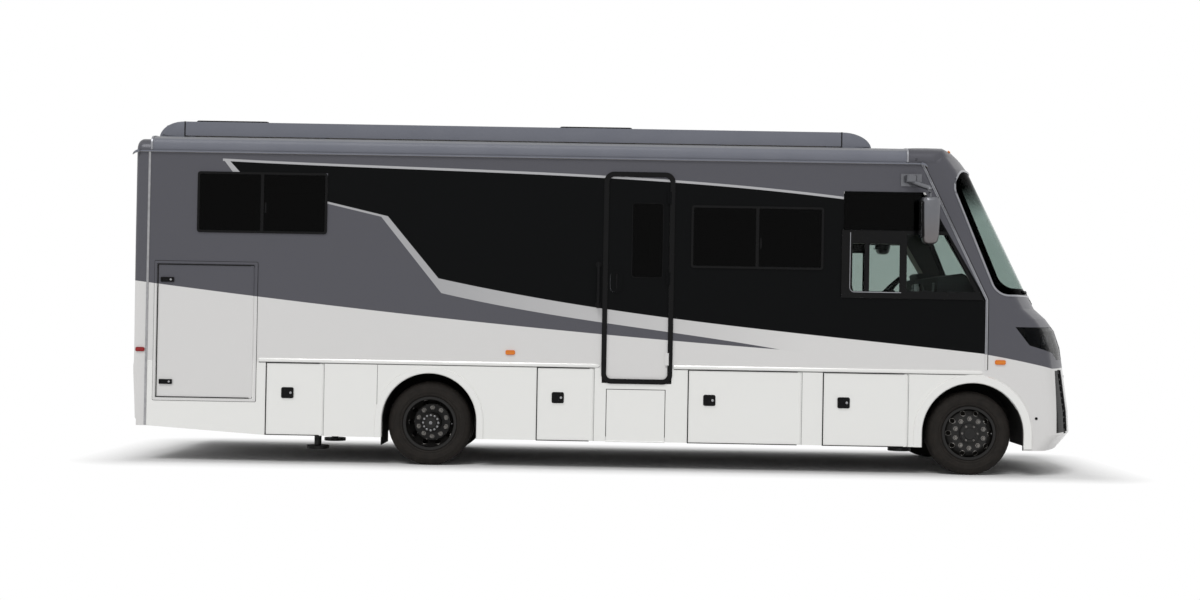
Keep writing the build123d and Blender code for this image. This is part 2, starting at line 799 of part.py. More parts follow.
# jacks: name, x, side, height of the drawn-up foot
jacks = [
    ("jack_rear_right", -2990, -1, 95),
    ("jack_rear_left", -2990, 1, 95),
    ("jack_front_right", 2927, -1, 180),
    ("jack_front_left", 2927, 1, 180),
]
with BuildPart() as chassis_frame:
    for side in (-1, 1):
        block(rail_rear_x, rail_front_x, *lane(side, rail_in, rail_out), rail_low, rail_high)
        block(rail_rear_x - 1, rail_front_x + 1, *lane(side, rail_in - 1, rail_out - rail_wall),
              rail_low + rail_wall, rail_high - rail_wall, Mode.SUBTRACT)
        for x in riser_x:
            block(x - beam_half, x + beam_half, *lane(side, rail_in, rail_out), rail_high, floor_z)
    for x in cross_x:
        block(x - beam_half, x + beam_half, -rail_out + 1, rail_out - 1, rail_high - 2 * beam_half, rail_high)
    for _, x, side, _ in jacks:
        with BuildSketch(Plane.XY.offset(jack_sleeve_z[0])):
            with Locations((x, side * jack_y)):
                Circle(jack_radius)
                Circle(jack_rod_radius + turning_gap, mode=Mode.SUBTRACT)
        extrude(amount=jack_sleeve_z[1] - jack_sleeve_z[0])
        block(x - 45, x + 45, *lane(side, rail_out - 1, jack_y - jack_radius + 8), *jack_bracket_z)
finish(chassis_frame.part, "chassis_frame")

for name, x, side, foot_z in jacks:
    with BuildPart() as jack:
        with Locations((x, side * jack_y, foot_z)):
            Cylinder(jack_foot_radius, jack_foot_thick, align=base_centre)
            Cylinder(jack_rod_radius, jack_foot_thick + jack_rod_length, align=base_centre)
    finish(jack.part, name)

gearbox_x = 2500  # its rear face
with BuildPart() as engine:
    block(3130, 4060, -330, 330, 620, 900)
    block(gearbox_x, 3130, -180, 180, 600, 880)
finish(engine.part, "engine")

tank_half = rail_in - 12
with BuildPart() as tanks:
    block(-3850, -2750, -tank_half, tank_half, 430, rail_high - 2 * beam_half - 0.3)
    block(-1100, 640, -tank_half, tank_half, rail_high, 960)
finish(tanks.part, "tanks")

# hitch receiver: a square socket on a beam hung from the rails, with a bore across it for the pin
hitch_z = 508
socket_half = 25.4
socket_wall = 6.6
hitch_pin_x = rear_x + 65
hitch_pin_radius = 8
hitch_beam_x = (-4560, -4390)
hitch_beam_z = (470, 545)
hanger_thick = 12
with BuildPart() as hitch_receiver:
    block(*hitch_beam_x, -rail_in, rail_in, *hitch_beam_z)
    tube_half = socket_half + socket_wall
    block(rear_x + 6, hitch_beam_x[1] - 10, -tube_half, tube_half, hitch_z - tube_half, hitch_z + tube_half)
    block(rear_x, hitch_beam_x[0] + 60, -socket_half, socket_half, hitch_z - socket_half,
          hitch_z + socket_half, Mode.SUBTRACT)
    with BuildSketch(Plane.XZ.offset(-tube_half - 1)):
        with Locations((hitch_pin_x, hitch_z)):
            Circle(hitch_pin_radius)
    extrude(amount=2 * tube_half + 2, mode=Mode.SUBTRACT)
    for side in (-1, 1):
        block(rail_rear_x, hitch_beam_x[1], *lane(side, rail_in - hanger_thick, rail_in),
              hitch_beam_z[1], rail_low + 120)
finish(hitch_receiver.part, "hitch_receiver")

# ---------------------------------------------------------------- axles, springs, knuckles
beam_z = (345, 455)
boss_z = (350, 470)
boss_radius = 40
pin_radius = 15
spindle_radius = 35
with BuildPart() as front_axle:
    block(front_axle_x - 45, front_axle_x + 45, -kingpin_y, kingpin_y, *beam_z)
    for side in (-1, 1):
        with BuildSketch(Plane.XY.offset(boss_z[0] - 60)):
            with Locations((front_axle_x, side * kingpin_y)):
                Rectangle(120, 2 * boss_radius + 12)
        extrude(amount=260, mode=Mode.SUBTRACT)
        with BuildSketch(Plane.XY.offset(boss_z[0])):
            with Locations((front_axle_x, side * kingpin_y)):
                Circle(boss_radius)
        extrude(amount=boss_z[1] - boss_z[0])
        neck_y = lane(side, kingpin_y - boss_radius - 8, kingpin_y - 20)
        block(front_axle_x - 35, front_axle_x + 35, *neck_y, boss_z[0], beam_z[1])
        with BuildSketch(Plane.XY.offset(boss_z[0] - 60)):
            with Locations((front_axle_x, side * kingpin_y)):
                Circle(pin_radius + 0.5)
        extrude(amount=260, mode=Mode.SUBTRACT)
finish(front_axle.part, "front_axle")

ear_gap = 8
ear = 40
with BuildPart() as knuckle_right:
    for z0 in (boss_z[0] - ear_gap - ear, boss_z[1] + ear_gap):
        with BuildSketch(Plane.XY.offset(z0)):
            with Locations((front_axle_x, -kingpin_y)):
                Circle(boss_radius)
            with Locations((front_axle_x, -kingpin_y - 35)):
                Rectangle(2 * boss_radius, 70)
        extrude(amount=ear)
    block(front_axle_x - 60, front_axle_x + 60, -kingpin_y - 80, -kingpin_y - 50,
          boss_z[0] - ear_gap - ear, boss_z[1] + ear_gap + ear)
    with BuildSketch(Plane.XY.offset(boss_z[0] - ear_gap - ear)):
        with Locations((front_axle_x, -kingpin_y)):
            Circle(pin_radius)
    extrude(amount=boss_z[1] - boss_z[0] + 2 * ear_gap + 2 * ear)
    with BuildSketch(Plane.XZ.offset(kingpin_y + 79)):
        with Locations((front_axle_x, hub_z)):
            Circle(spindle_radius)
    extrude(amount=130)
finish(knuckle_right.part, "knuckle_right")
finish(mirrored(knuckle_right.part), "knuckle_left")

mating_y = outer_dual_y - dual_half_pitch
tube_radius = 68
tube_end_y = 860
final_drive_radius = 195
final_drive_back = 190
final_drive_reach = 170  # from the axle's centre to the face that takes the drive shaft
brake_radius = 185
brake_y = (740, 860)
with BuildPart() as rear_axle:
    with BuildSketch(Plane.XZ.offset(-tube_end_y)):
        with Locations((rear_axle_x, hub_z)):
            Circle(tube_radius)
    extrude(amount=2 * tube_end_y)
    with BuildSketch(Plane.XZ.offset(-mating_y - 60)):
        with Locations((rear_axle_x, hub_z)):
            Circle(axle_end_radius)
    extrude(amount=2 * mating_y + 120)
    with BuildSketch(Plane.YZ.offset(rear_axle_x - final_drive_back)):
        with Locations((0, hub_z)):
            Circle(final_drive_radius)
    extrude(amount=final_drive_back + final_drive_reach, taper=12)
    for near, far in (brake_y, (-brake_y[1], -brake_y[0])):
        with BuildSketch(Plane.XZ.offset(near)):
            with Locations((rear_axle_x, hub_z)):
                Circle(brake_radius)
        extrude(amount=far - near)
finish(rear_axle.part, "rear_axle")

# drive shaft between the faces of the gearbox and the final drive, each end just clear of its face
shaft_radius = 45
shaft_z = (430, 640)
final_drive_x = rear_axle_x + final_drive_reach
shaft_tip = shaft_radius * sin(atan2(shaft_z[1] - shaft_z[0], gearbox_x - final_drive_x)) + fit
shaft_rear = (final_drive_x + shaft_tip, shaft_z[0])
shaft_front = (gearbox_x - shaft_tip, shaft_z[1])
shaft_length = hypot(shaft_front[0] - shaft_rear[0], shaft_front[1] - shaft_rear[1])
shaft_plane = Plane(
    origin=(shaft_rear[0], 0, shaft_rear[1]),
    x_dir=(0, 1, 0),
    z_dir=(shaft_front[0] - shaft_rear[0], 0, shaft_front[1] - shaft_rear[1]),
)
with BuildPart() as drive_shaft:
    with BuildSketch(shaft_plane):
        Circle(shaft_radius)
    extrude(amount=shaft_length)
finish(drive_shaft.part, "drive_shaft")

# leaf springs under the rails: axle, height of its seat, and how far each end reaches
springs = [
    (front_axle_x, beam_z[1], 640),
    (rear_axle_x, hub_z + tube_radius, 700),
]
spring_width = 76
pack_half = 140  # the thick middle, clamped on the axle
pack_height = 45
eye_height = 40
with BuildPart() as leaf_springs:
    for x, low, reach in springs:
        half_spring = [
            (pack_half, low),
            (reach, rail_low - eye_height),
            (reach, rail_low),
            (reach - 60, rail_low),
            (reach - 70, rail_low - 22),
            (pack_half, low + pack_height),
        ]
        with BuildSketch(Plane.XZ.offset(-rail_y - spring_width / 2)):
            front_half = [(x + along, z) for along, z in half_spring]
            rear_half = [(x - along, z) for along, z in reversed(half_spring)]
            Polygon(*front_half, *rear_half, align=None)
        extrude(amount=spring_width)
finish(both_sides(leaf_springs.part), "leaf_springs")

# ---------------------------------------------------------------- wheels and tyres


def tyre(x, y):
    """A tyre of revolution round the wheel axis, on the right."""
    half = tyre_width / 2
    with BuildPart() as body:
        with BuildSketch(Plane.YZ.offset(x)):
            with BuildLine() as section:
                Polyline(
                    (-y - half + 26, hub_z + bead_radius + 0.3),
                    (-y - half + 26, hub_z + rim_radius + 3),
                    (-y - half + 8, hub_z + rim_radius + 26),
                    (-y - half, hub_z + 318),
                    (-y - half + 10, hub_z + 372),
                    (-y - half + 34, hub_z + tyre_radius - 5),
                    (-y - 0.2 * half, hub_z + tyre_radius),
                    (-y + 0.2 * half, hub_z + tyre_radius),
                    (-y + half - 34, hub_z + tyre_radius - 5),
                    (-y + half - 10, hub_z + 372),
                    (-y + half, hub_z + 318),
                    (-y + half - 8, hub_z + rim_radius + 26),
                    (-y + half - 26, hub_z + rim_radius + 3),
                    (-y + half - 26, hub_z + bead_radius + 0.3),
                    close=True,
                )
            make_face()
        revolve(axis=Axis((x, 0, hub_z), (0, 1, 0)))
    return body.part


barrel_half = 107  # half the width over the rim flanges
barrel_inner = 236
flange_thick = 10
disc_thick = 14
disc_radius = 178
hand_hole = 23
hand_hole_circle = 203


def wheel(x, rims, hub_y, bore):
    """A wheel on the right, turned round its axis: one or two rims, each with a dished disc, and a hub.

    Each rim is given by its centre plane, and by its disc's near and far face.
    """
    with BuildPart() as body:
        with BuildSketch(Plane.YZ.offset(x)):
            for y, near, far in rims:
                side = 1 if far > y else -1
                with Locations((-y, hub_z + (bead_radius + barrel_inner) / 2)):
                    Rectangle(2 * barrel_half, bead_radius - barrel_inner)
                for end in (-1, 1):
                    flange_y = -y + end * (barrel_half - flange_thick / 2)
                    with Locations((flange_y, hub_z + (rim_radius + barrel_inner) / 2)):
                        Rectangle(flange_thick, rim_radius - barrel_inner)
                root = y + side * (barrel_half - 45)
                Polygon(
                    (-near, hub_z),
                    (-far, hub_z),
                    (-far, hub_z + disc_radius),
                    (-root - side * disc_thick, hub_z + barrel_inner + 1),
                    (-root, hub_z + barrel_inner + 1),
                    (-near, hub_z + disc_radius),
                    align=None,
                )
            with Locations((-(hub_y[0] + hub_y[1]) / 2, hub_z + hub_radius / 2)):
                Rectangle(hub_y[1] - hub_y[0], hub_radius)
        revolve(axis=Axis((x, 0, hub_z), (0, 1, 0)))
        with BuildSketch(Plane.XZ.offset(rims[0][1] - 80)):
            with Locations((x, hub_z)):
                with PolarLocations(hand_hole_circle, 10):
                    Circle(hand_hole)
        extrude(amount=160, mode=Mode.SUBTRACT)
        with BuildSketch(Plane.XZ.offset(hub_y[0] - 1)):
            with Locations((x, hub_z)):
                Circle(bore)
        extrude(amount=hub_y[1] - hub_y[0] - 25, mode=Mode.SUBTRACT)
    return body.part


front_tyre = tyre(front_axle_x, front_tyre_y)
finish(front_tyre, "tyre_front_right")
finish(mirrored(front_tyre), "tyre_front_left")
front_disc_y = front_tyre_y + 118  # near face of the front wheel's disc
front_rims = [(front_tyre_y, front_disc_y, front_disc_y + disc_thick)]
front_wheel = wheel(front_axle_x, front_rims, front_hub_y, spindle_radius + 1)
finish(front_wheel, "wheel_front_right")
finish(mirrored(front_wheel), "wheel_front_left")

twins = [tyre(rear_axle_x, outer_dual_y), tyre(rear_axle_x, inner_dual_y)]
finish(Compound(children=[s for t in twins for s in t.solids()]), "tyres_rear_right")
finish(Compound(children=[s for t in map(mirrored, twins) for s in t.solids()]), "tyres_rear_left")
twin_rims = [
    (outer_dual_y, mating_y + disc_thick, mating_y),
    (inner_dual_y, mating_y - disc_thick, mating_y),
]
rear_wheel = wheel(rear_axle_x, twin_rims, rear_hub_y, axle_end_radius + 1)
finish(rear_wheel, "wheel_rear_right")
finish(mirrored(rear_wheel), "wheel_rear_left")

with BuildPart() as mud_flap:
    block(bays[0][2], bays[0][2] + 8, -1190, -690, 190, 700)
finish(both_sides(mud_flap.part), "mud_flaps")

# ---------------------------------------------------------------- wipers
blade_z = (1800, 1820)
blade_lay = (-14, 3.7)
arm_lay = (-26, -14)
pivot_lay = (-26, -0.3)
pivot_z = (1690, 1735)


def strip_on_nose(lay, span, heights):
    """A strip that follows the nose: between two insets, two widths and two heights."""
    with BuildPart() as strip:
        add(nose_shell(*lay, *heights))
        block(0, nose_end_x, *span, *heights, Mode.INTERSECT)
    return strip.part


with BuildPart() as wipers:
    for blade_y, pivot_y in (((-880, -180), -240), ((60, 760), 700)):
        for lay, span, heights in (
            (blade_lay, blade_y, blade_z),
            (arm_lay, (pivot_y - 14, pivot_y + 14), (pivot_z[0], blade_z[1])),
            (pivot_lay, (pivot_y - 26, pivot_y + 26), pivot_z),
        ):
            add(strip_on_nose(lay, span, heights))
finish(wipers.part, "wipers")

# ---------------------------------------------------------------- cab interior
column_radius = 30
column_length = 420
column_plane = Plane((2980, 560, 1830), x_dir=(0, 1, 0), z_dir=(-1, 0, 1))
dash_half = 1120
with BuildPart() as dashboard:
    with BuildSketch(Plane.XZ.offset(-dash_half)):
        Polygon(
            (3200, 1500),
            (3180, 1930),
            (3420, 1975),
            (3720, 1870),
            (4050, 1790),
            (4050, floor_top_z),
            (3800, floor_top_z),
            align=None,
        )
    extrude(amount=2 * dash_half)
    add(cap_solid(wall_thick + 6), mode=Mode.INTERSECT)
    with BuildSketch(column_plane):
        Circle(column_radius + turning_gap)
    extrude(amount=-2 * column_length, mode=Mode.SUBTRACT)
finish(dashboard.part, "dashboard")

# steering wheel: a round rim, three spokes and a hub that tapers up to its cover
rim_section = 12.5
rim_centre = 202.5
spoke_width = 36
hub_size = (62, 25)  # radius at the column, thickness
with BuildPart() as steering_wheel:
    with Locations(column_plane.offset(rim_section)):
        Torus(rim_centre, rim_section)
    with BuildSketch(column_plane.offset(rim_section / 2)):
        Rectangle(2 * rim_centre, spoke_width)
        Rectangle(spoke_width, rim_centre, align=(Align.CENTER, Align.MIN))
    extrude(amount=rim_section)
    with BuildSketch(column_plane):
        Circle(hub_size[0])
    extrude(amount=hub_size[1], taper=15)
    with BuildSketch(column_plane):
        Circle(column_radius)
    extrude(amount=-column_length)
finish(steering_wheel.part, "steering_wheel")

seat_x = 2350  # back edge of the cushion
seat_y = (310, 810)
seat_z = (1380, 1520)
back_foot_z = 1500
back_top_z = 2150
back_thick = (130, 120)  # at its foot and at its top
back_lean = 110
pedestal_inset = (60, 110)  # from the cushion's back edge and from its sides
with BuildPart() as seat:
    block(seat_x + pedestal_inset[0], seat_x + 440, seat_y[0] + pedestal_inset[1],
          seat_y[1] - pedestal_inset[1], floor_top_z, seat_z[0])
    block(seat_x, seat_x + 520, *seat_y, *seat_z)
    with BuildSketch(Plane.XZ.offset(-seat_y[1])):
        Polygon(
            (seat_x, back_foot_z),
            (seat_x + back_thick[0], back_foot_z),
            (seat_x - back_lean + back_thick[1], back_top_z),
            (seat_x - back_lean, back_top_z),
            align=None,
        )
    extrude(amount=seat_y[1] - seat_y[0])
finish(both_sides(seat.part), "seats")
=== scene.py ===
"""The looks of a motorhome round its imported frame: paint, glass, trim, lamps, wheels, cab and underbody.

Metres throughout. +X is forward, +Y is the driver's (left) side and +Z is up. The origin lies on the ground
under the middle of the coach. Sides are given as RIGHT and LEFT, the sign of Y.
"""

import math

import bmesh
import bpy
import numpy as np
from mathutils import Matrix, Vector


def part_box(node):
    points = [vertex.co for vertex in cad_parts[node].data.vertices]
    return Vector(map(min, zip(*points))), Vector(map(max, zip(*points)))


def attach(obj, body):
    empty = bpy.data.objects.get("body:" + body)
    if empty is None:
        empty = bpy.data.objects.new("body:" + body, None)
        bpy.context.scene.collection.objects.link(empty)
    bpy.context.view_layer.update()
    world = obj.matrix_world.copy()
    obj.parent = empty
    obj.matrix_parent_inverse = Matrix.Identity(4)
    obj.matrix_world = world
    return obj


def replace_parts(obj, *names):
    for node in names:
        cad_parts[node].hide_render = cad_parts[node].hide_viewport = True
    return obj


bl_info = {
    "name": "Motorhome looks",
    "version": (1, 0, 0),
    "blender": (4, 5, 0),
    "location": "3D View > Sidebar > Motorhome",
    "description": "Builds the finishes and fittings of a class A motorhome round its frame",
    "category": "Object",
}

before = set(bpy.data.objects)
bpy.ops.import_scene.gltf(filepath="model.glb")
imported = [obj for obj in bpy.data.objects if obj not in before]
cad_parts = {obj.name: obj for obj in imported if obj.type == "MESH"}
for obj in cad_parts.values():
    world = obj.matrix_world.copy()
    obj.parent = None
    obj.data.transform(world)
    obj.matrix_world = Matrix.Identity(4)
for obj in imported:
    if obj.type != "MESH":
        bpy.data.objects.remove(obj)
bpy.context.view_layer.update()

RIGHT, LEFT = -1, 1
SIDES = ((RIGHT, "right"), (LEFT, "left"))
SKIN = 1.27  # centre plane to the outer skin

# paint lines on the flanks: (x, z) points that each smooth line passes through, from rear to front
WHITE_LINE = [(-4.709, 1.764), (-1.538, 1.434), (1.633, 1.198)]
SWEEP_LINE = [(-1.685, 1.691), (-1.108, 1.579), (0.263, 1.384), (1.633, 1.198)]
BLACK_LINE = [(-1.719, 1.835), (-0.618, 1.640), (1.340, 1.403), (3.629, 1.190)]
STRIPE_LINE = [(-3.849, 2.971), (-2.086, 2.922), (0.263, 2.850), (2.231, 2.699)]
CAP_LINE = [(3.678, 1.179), (3.970, 1.127), (4.263, 1.065)]
SWEEP_TIP_X = 1.633
STRIPE_END_X = 2.231
STRIPE_WIDTH = 0.023
NOSE_LINE_X = 4.3  # from here forward the lower paint line is level
FADE_FRONT, FADE_LENGTH = 1.9, 3.6  # the silver border turns white over this length, back from its front end
# the black field's rear edge, its silver border, and the pointed tip of the stripe
FIELD_EDGE = [(-2.813, 2.566), (-2.221, 2.433), (-1.719, 1.839)]
BORDER_EDGE = [(-2.812, 2.545), (-2.286, 2.427), (-1.685, 1.691)]
TIP_OUTER = [(-3.849, 2.971), (-3.748, 2.840)]
TIP_INNER = [(-3.770, 2.938), (-3.679, 2.841)]

# panes: rear edge, front edge, lower edge, upper edge
BEDROOM = (-4.090, -2.816, 2.245, 2.842)
LOUNGE = (0.748, 2.040, 1.980, 2.592)
CAB_TOP = 2.378
CAB_REAR = 2.215
CAB_PANEL_TOP = 2.754
GLASS_FACE = 1.279
CAB_HAIRLINE_X = 2.300
MIRROR_X, MIRROR_Y = 3.035, 1.485
# the cab window's clear lights: outer and inner edge of the black border round each, as (x, z) points
CAB_LIGHTS = (
    ([(2.217, 1.714), (2.465, 1.714), (2.465, 2.376), (2.217, 2.376)],
     [(2.322, 1.782), (2.442, 1.782), (2.442, 2.250), (2.322, 2.250)]),
    ([(2.465, 1.714), (2.818, 1.714), (2.818, 2.376), (2.465, 2.376)],
     [(2.488, 1.782), (2.782, 1.782), (2.782, 2.246), (2.488, 2.246)]),
    ([(2.818, 1.714), (3.606, 1.714), (3.236, 2.376), (2.818, 2.376)],
     [(2.852, 1.790), (3.520, 1.790), (3.248, 2.340), (2.852, 2.340)]),
)

# front seam of the side wall: upper end, knee and foot
SEAM = [(2.990, 3.036), (3.640, 1.717), (3.640, 1.035)]
# the nose: radius of its bow and of its corners in plan, and its reach on the centre plane as (z, x) points
NOSE_BOW = 2.35
NOSE_CORNER = 0.16
NOSE_PROFILE = [
    (0.255, 4.575), (0.410, 4.705), (0.620, 4.692), (1.250, 4.600), (1.420, 4.540), (1.540, 4.450),
    (1.640, 4.335), (1.834, 4.231), (2.993, 3.653), (3.110, 3.565), (3.205, 3.330),
]
CAP_HEART_X, CAP_HEART_Z = 3.1, 1.9  # a point inside the front cap, which its outer faces look away from
SCREEN_REAR = (3.745, 3.235)  # rear edge of the windscreen, at its foot and at its top
SCREEN_FOOT, SCREEN_TOP, SCREEN_CORNER, SCREEN_BORDER = 1.775, 2.990, 0.170, 0.062
SHADE_FOOT, SHADE_DEPTH = 2.60, 0.32  # the windscreen's dark shade starts here and is full this much higher
# the brow over the windscreen: its rear edge, its reach on the centre plane, its (x, z) section there,
# and the (|y|, z) crown that caps the section's height
BROW_REAR, BROW_REACH = 2.858, 3.575
BROW_SECTION = [
    (2.90, 3.110), (2.858, 3.150), (2.858, 3.194), (3.00, 3.206), (3.16, 3.222), (3.31, 3.226),
    (3.41, 3.214), (3.48, 3.188), (3.54, 3.142), (3.585, 3.072), (3.55, 3.060), (3.40, 3.100),
]
BROW_CROWN = [
    (0.0, 3.226), (0.30, 3.225), (0.60, 3.223), (0.85, 3.220), (1.06, 3.212), (1.12, 3.204),
    (1.17, 3.194), (1.21, 3.180), (1.24, 3.162), (1.26, 3.138), (1.270, 3.115), (1.2745, 3.090),
    (1.2746, 3.062), (1.268, 3.045),
]
# dark corner vents of the bumper: rear edge, inner edge as |y|, foot and top
VENT_REAR_X, VENT_INNER_Y, VENT_FOOT, VENT_TOP = 4.345, 0.84, 0.43, 1.035

# the moulding along the roof's edge: (|y|, z) section and its two ends
ROOF_EDGE = [
    (1.268, 3.041), (1.2745, 3.060), (1.2745, 3.110), (1.266, 3.142), (1.248, 3.164), (1.220, 3.178),
    (1.170, 3.188), (1.060, 3.194), (1.060, 3.160), (1.200, 3.120), (1.255, 3.050),
]
ROOF_EDGE_ENDS = (-4.556, 2.856)
ROOF_STRAPS_X = (-4.548, 2.846)
FAIRING_INNER, FAIRING_OUTER = 0.958, 1.112
FAIRING_JOINTS_X = (-4.268, 2.221)
FAIRING_TIPS_X = ((-4.274, -4.520), (2.227, 2.512))  # where each rounded tip starts, and where it ends

ARCH_JOINT_X = -2.295  # upright joint of the skirt ahead of the rear locker
LID_FACE = 1.276
LATCH_Z = 0.690
LATCH_X = {"bay_door_1": -3.172, "bay_door_2": -0.527, "bay_door_3": 0.952, "bay_door_4": 2.260}
LOCKER_LATCH_X, LOCKER_LATCHES_Z = -4.370, {"upper": 1.777, "lower": 0.778}
JACK_FOOT_TOP = 0.235

HAND_HOLES = 10, 0.203, 0.0245  # count, radius of their circle, radius of a rim
# the dish of each wheel, as two (radius, |y|) points
WHEEL_DISH = {"front": ((0.178, 1.214), (0.239, 1.158)), "rear": ((0.178, 0.953), (0.239, 1.018))}
# by axle: the bodies' names without their side, |y| of the face under the nuts and of the hub's face,
# and the (x, z) centre
WHEEL_BODIES = {"front": "wheel_front", "rear": "wheels_rear"}
NUT_FACE = {"front": 1.214, "rear": 0.953}
HUB_FACE = {"front": 1.240, "rear": 1.090}
WHEEL_CENTRES = {"front": (3.500, 0.410), "rear": (-1.783, 0.410)}
# wheel wells: axle, centre as (x, z), radius, |y| of the inner wall
WHEEL_WELLS = (("front", (3.521, 0.411), 0.496, 0.668), ("rear", (-1.783, 0.440), 0.466, 0.620))


# ---------------------------------------------------------------- sizes and colours that can be set
def srgb(red, green, blue):
    """A display colour, 0 to 255 a channel, as linear values."""
    return tuple(c / 3294.6 if c <= 10 else ((c / 255 + 0.055) / 1.055) ** 2.4 for c in (red, green, blue))


def colour_property(name, description, *channels):
    return bpy.props.FloatVectorProperty(
        name=name, description=description, default=srgb(*channels), size=3, min=0, max=1, subtype="COLOR")


def amount_property(name, description, default, **limits):
    return bpy.props.FloatProperty(name=name, description=description, default=default, min=0, **limits)


def length_property(name, description, default):
    return amount_property(name, description, default, unit="LENGTH")


class PaintSettings(bpy.types.PropertyGroup):
    """Colours of the coachwork."""
    white: colour_property("White", "Lower body, lids and skirts", 226, 225, 224)
    grey: colour_property("Dark grey", "Metallic upper body", 71, 71, 78)
    silver: colour_property("Silver", "Stripe and the band under the black field", 178, 178, 180)
    black: colour_property("Black", "Gloss field between the stripe and the band", 7, 8, 9)
    roof: colour_property("Roof grey", "Roof edge and fairings", 104, 107, 118)
    peel: amount_property(
        "Orange peel", "Strength of the waviness of the lacquer", 0.05, max=1, subtype="FACTOR")


class TrimSettings(bpy.types.PropertyGroup):
    """Sizes of the fittings on the flanks."""
    frame_width: length_property("Window frame", "Width of the black frame round a pane", 0.022)
    mullion_width: length_property("Mullion", "Width of the bar between two panes", 0.030)
    belt_low: length_property("Belt, lower edge", "Height of the belt moulding's lower edge", 0.987)
    belt_high: length_property("Belt, upper edge", "Height of the belt moulding's upper edge", 1.030)
    latch_width: length_property("Latch width", "Width of a bay latch", 0.120)
    latch_height: length_property("Latch height", "Height of a bay latch", 0.108)


class WheelSettings(bpy.types.PropertyGroup):
    """Sizes of the wheel fittings and the tread."""
    nuts: bpy.props.IntProperty(
        name="Wheel nuts", description="Nuts on each wheel", default=10, min=4, max=12)
    nut_circle: length_property("Nut circle", "Radius of the circle of nuts", 0.142875)
    nut_width: length_property("Nut width", "Width over a nut's flats", 0.033)
    groove_depth: length_property("Groove depth", "Depth of the tread grooves", 0.012)
    lugs: bpy.props.IntProperty(
        name="Shoulder lugs", description="Lugs round a shoulder", default=60, min=20, max=90)


class CabSettings(bpy.types.PropertyGroup):
    """Colours and fullness of the cab seats and trim."""
    leather: colour_property("Seat leather", "Seats in the cab", 150, 143, 134)
    piping: colour_property("Piping", "Welt along the seams of the seats", 70, 66, 62)
    trim: colour_property("Dash plastic", "Dash and column", 42, 42, 44)
    liner: colour_property("Wall liner", "Inner walls and ceiling", 176, 170, 160)
    pressure: amount_property("Fullness", "Pressure inside a cushion", 4.0)


class StageSettings(bpy.types.PropertyGroup):
    """Floor, backdrop and lamps."""
    floor: colour_property("Floor", "Pale studio floor", 250, 250, 250)
    sky: amount_property("Sky light", "Strength of the even light", 0.55)
    key: amount_property("Key light", "Strength of the soft sun", 0.95)
    lens: bpy.props.FloatProperty(
        name="Lens", description="Focal length on a 36 mm sensor", default=51.95, min=1, unit="CAMERA")


# ---------------------------------------------------------------- finishes
class Number:
    """A shader value used in sums: an expression on it adds its Math nodes."""

    def __init__(self, finish, socket):
        self.finish = finish
        self.socket = socket

    def math(self, operation, *terms, clamp=False):
        node = self.finish.node(
            "ShaderNodeMath", {"operation": operation, "use_clamp": clamp}, dict(enumerate(terms)))
        return Number(self.finish, node.outputs[0])

    def __add__(self, other):
        return self.math("ADD", self, other)

    def __sub__(self, other):
        return self.math("SUBTRACT", self, other)

    def __rsub__(self, other):
        return self.math("SUBTRACT", other, self)

    def __mul__(self, other):
        return self.math("MULTIPLY", self, other)

    def __truediv__(self, other):
        return self.math("DIVIDE", self, other)

    __radd__ = __add__
    __rmul__ = __mul__

    def clamped(self):
        return self.math("ADD", self, 0.0, clamp=True)

    def above(self, edge, soft=0.0015):
        """1 where this value is over the edge, 0 where it is under, with a soft step between."""
        return ((self - edge) / soft + 0.5).clamped()

    def below(self, edge, soft=0.0015):
        return 1 - self.above(edge, soft)

    def most(self, other):
        return self.math("MAXIMUM", self, other)

    def least(self, other):
        return self.math("MINIMUM", self, other)

    def size(self):
        return self.math("ABSOLUTE", self)

    def wave(self):
        return self.math("SINE", self)

    def root(self):
        return self.math("SQRT", self)


class Nodes:
    """A node tree that is being filled."""

    def __init__(self, holder):
        holder.use_nodes = True
        self.tree = holder.node_tree
        self.tree.nodes.clear()

    def node(self, kind, settings=None, inputs=None):
        """Any node: its settings are set first, then the values or links of its sockets."""
        made = self.tree.nodes.new(kind)
        for key, value in (settings or {}).items():
            setattr(made, key, value)
        for key, value in (inputs or {}).items():
            socket = made.inputs[key]
            value = value.socket if isinstance(value, Number) else value
            if isinstance(value, bpy.types.NodeSocket):
                self.tree.links.new(value, socket)
            elif isinstance(value, tuple) and socket.type == "RGBA":
                socket.default_value = (*value, 1)
            else:
                socket.default_value = value
        return made


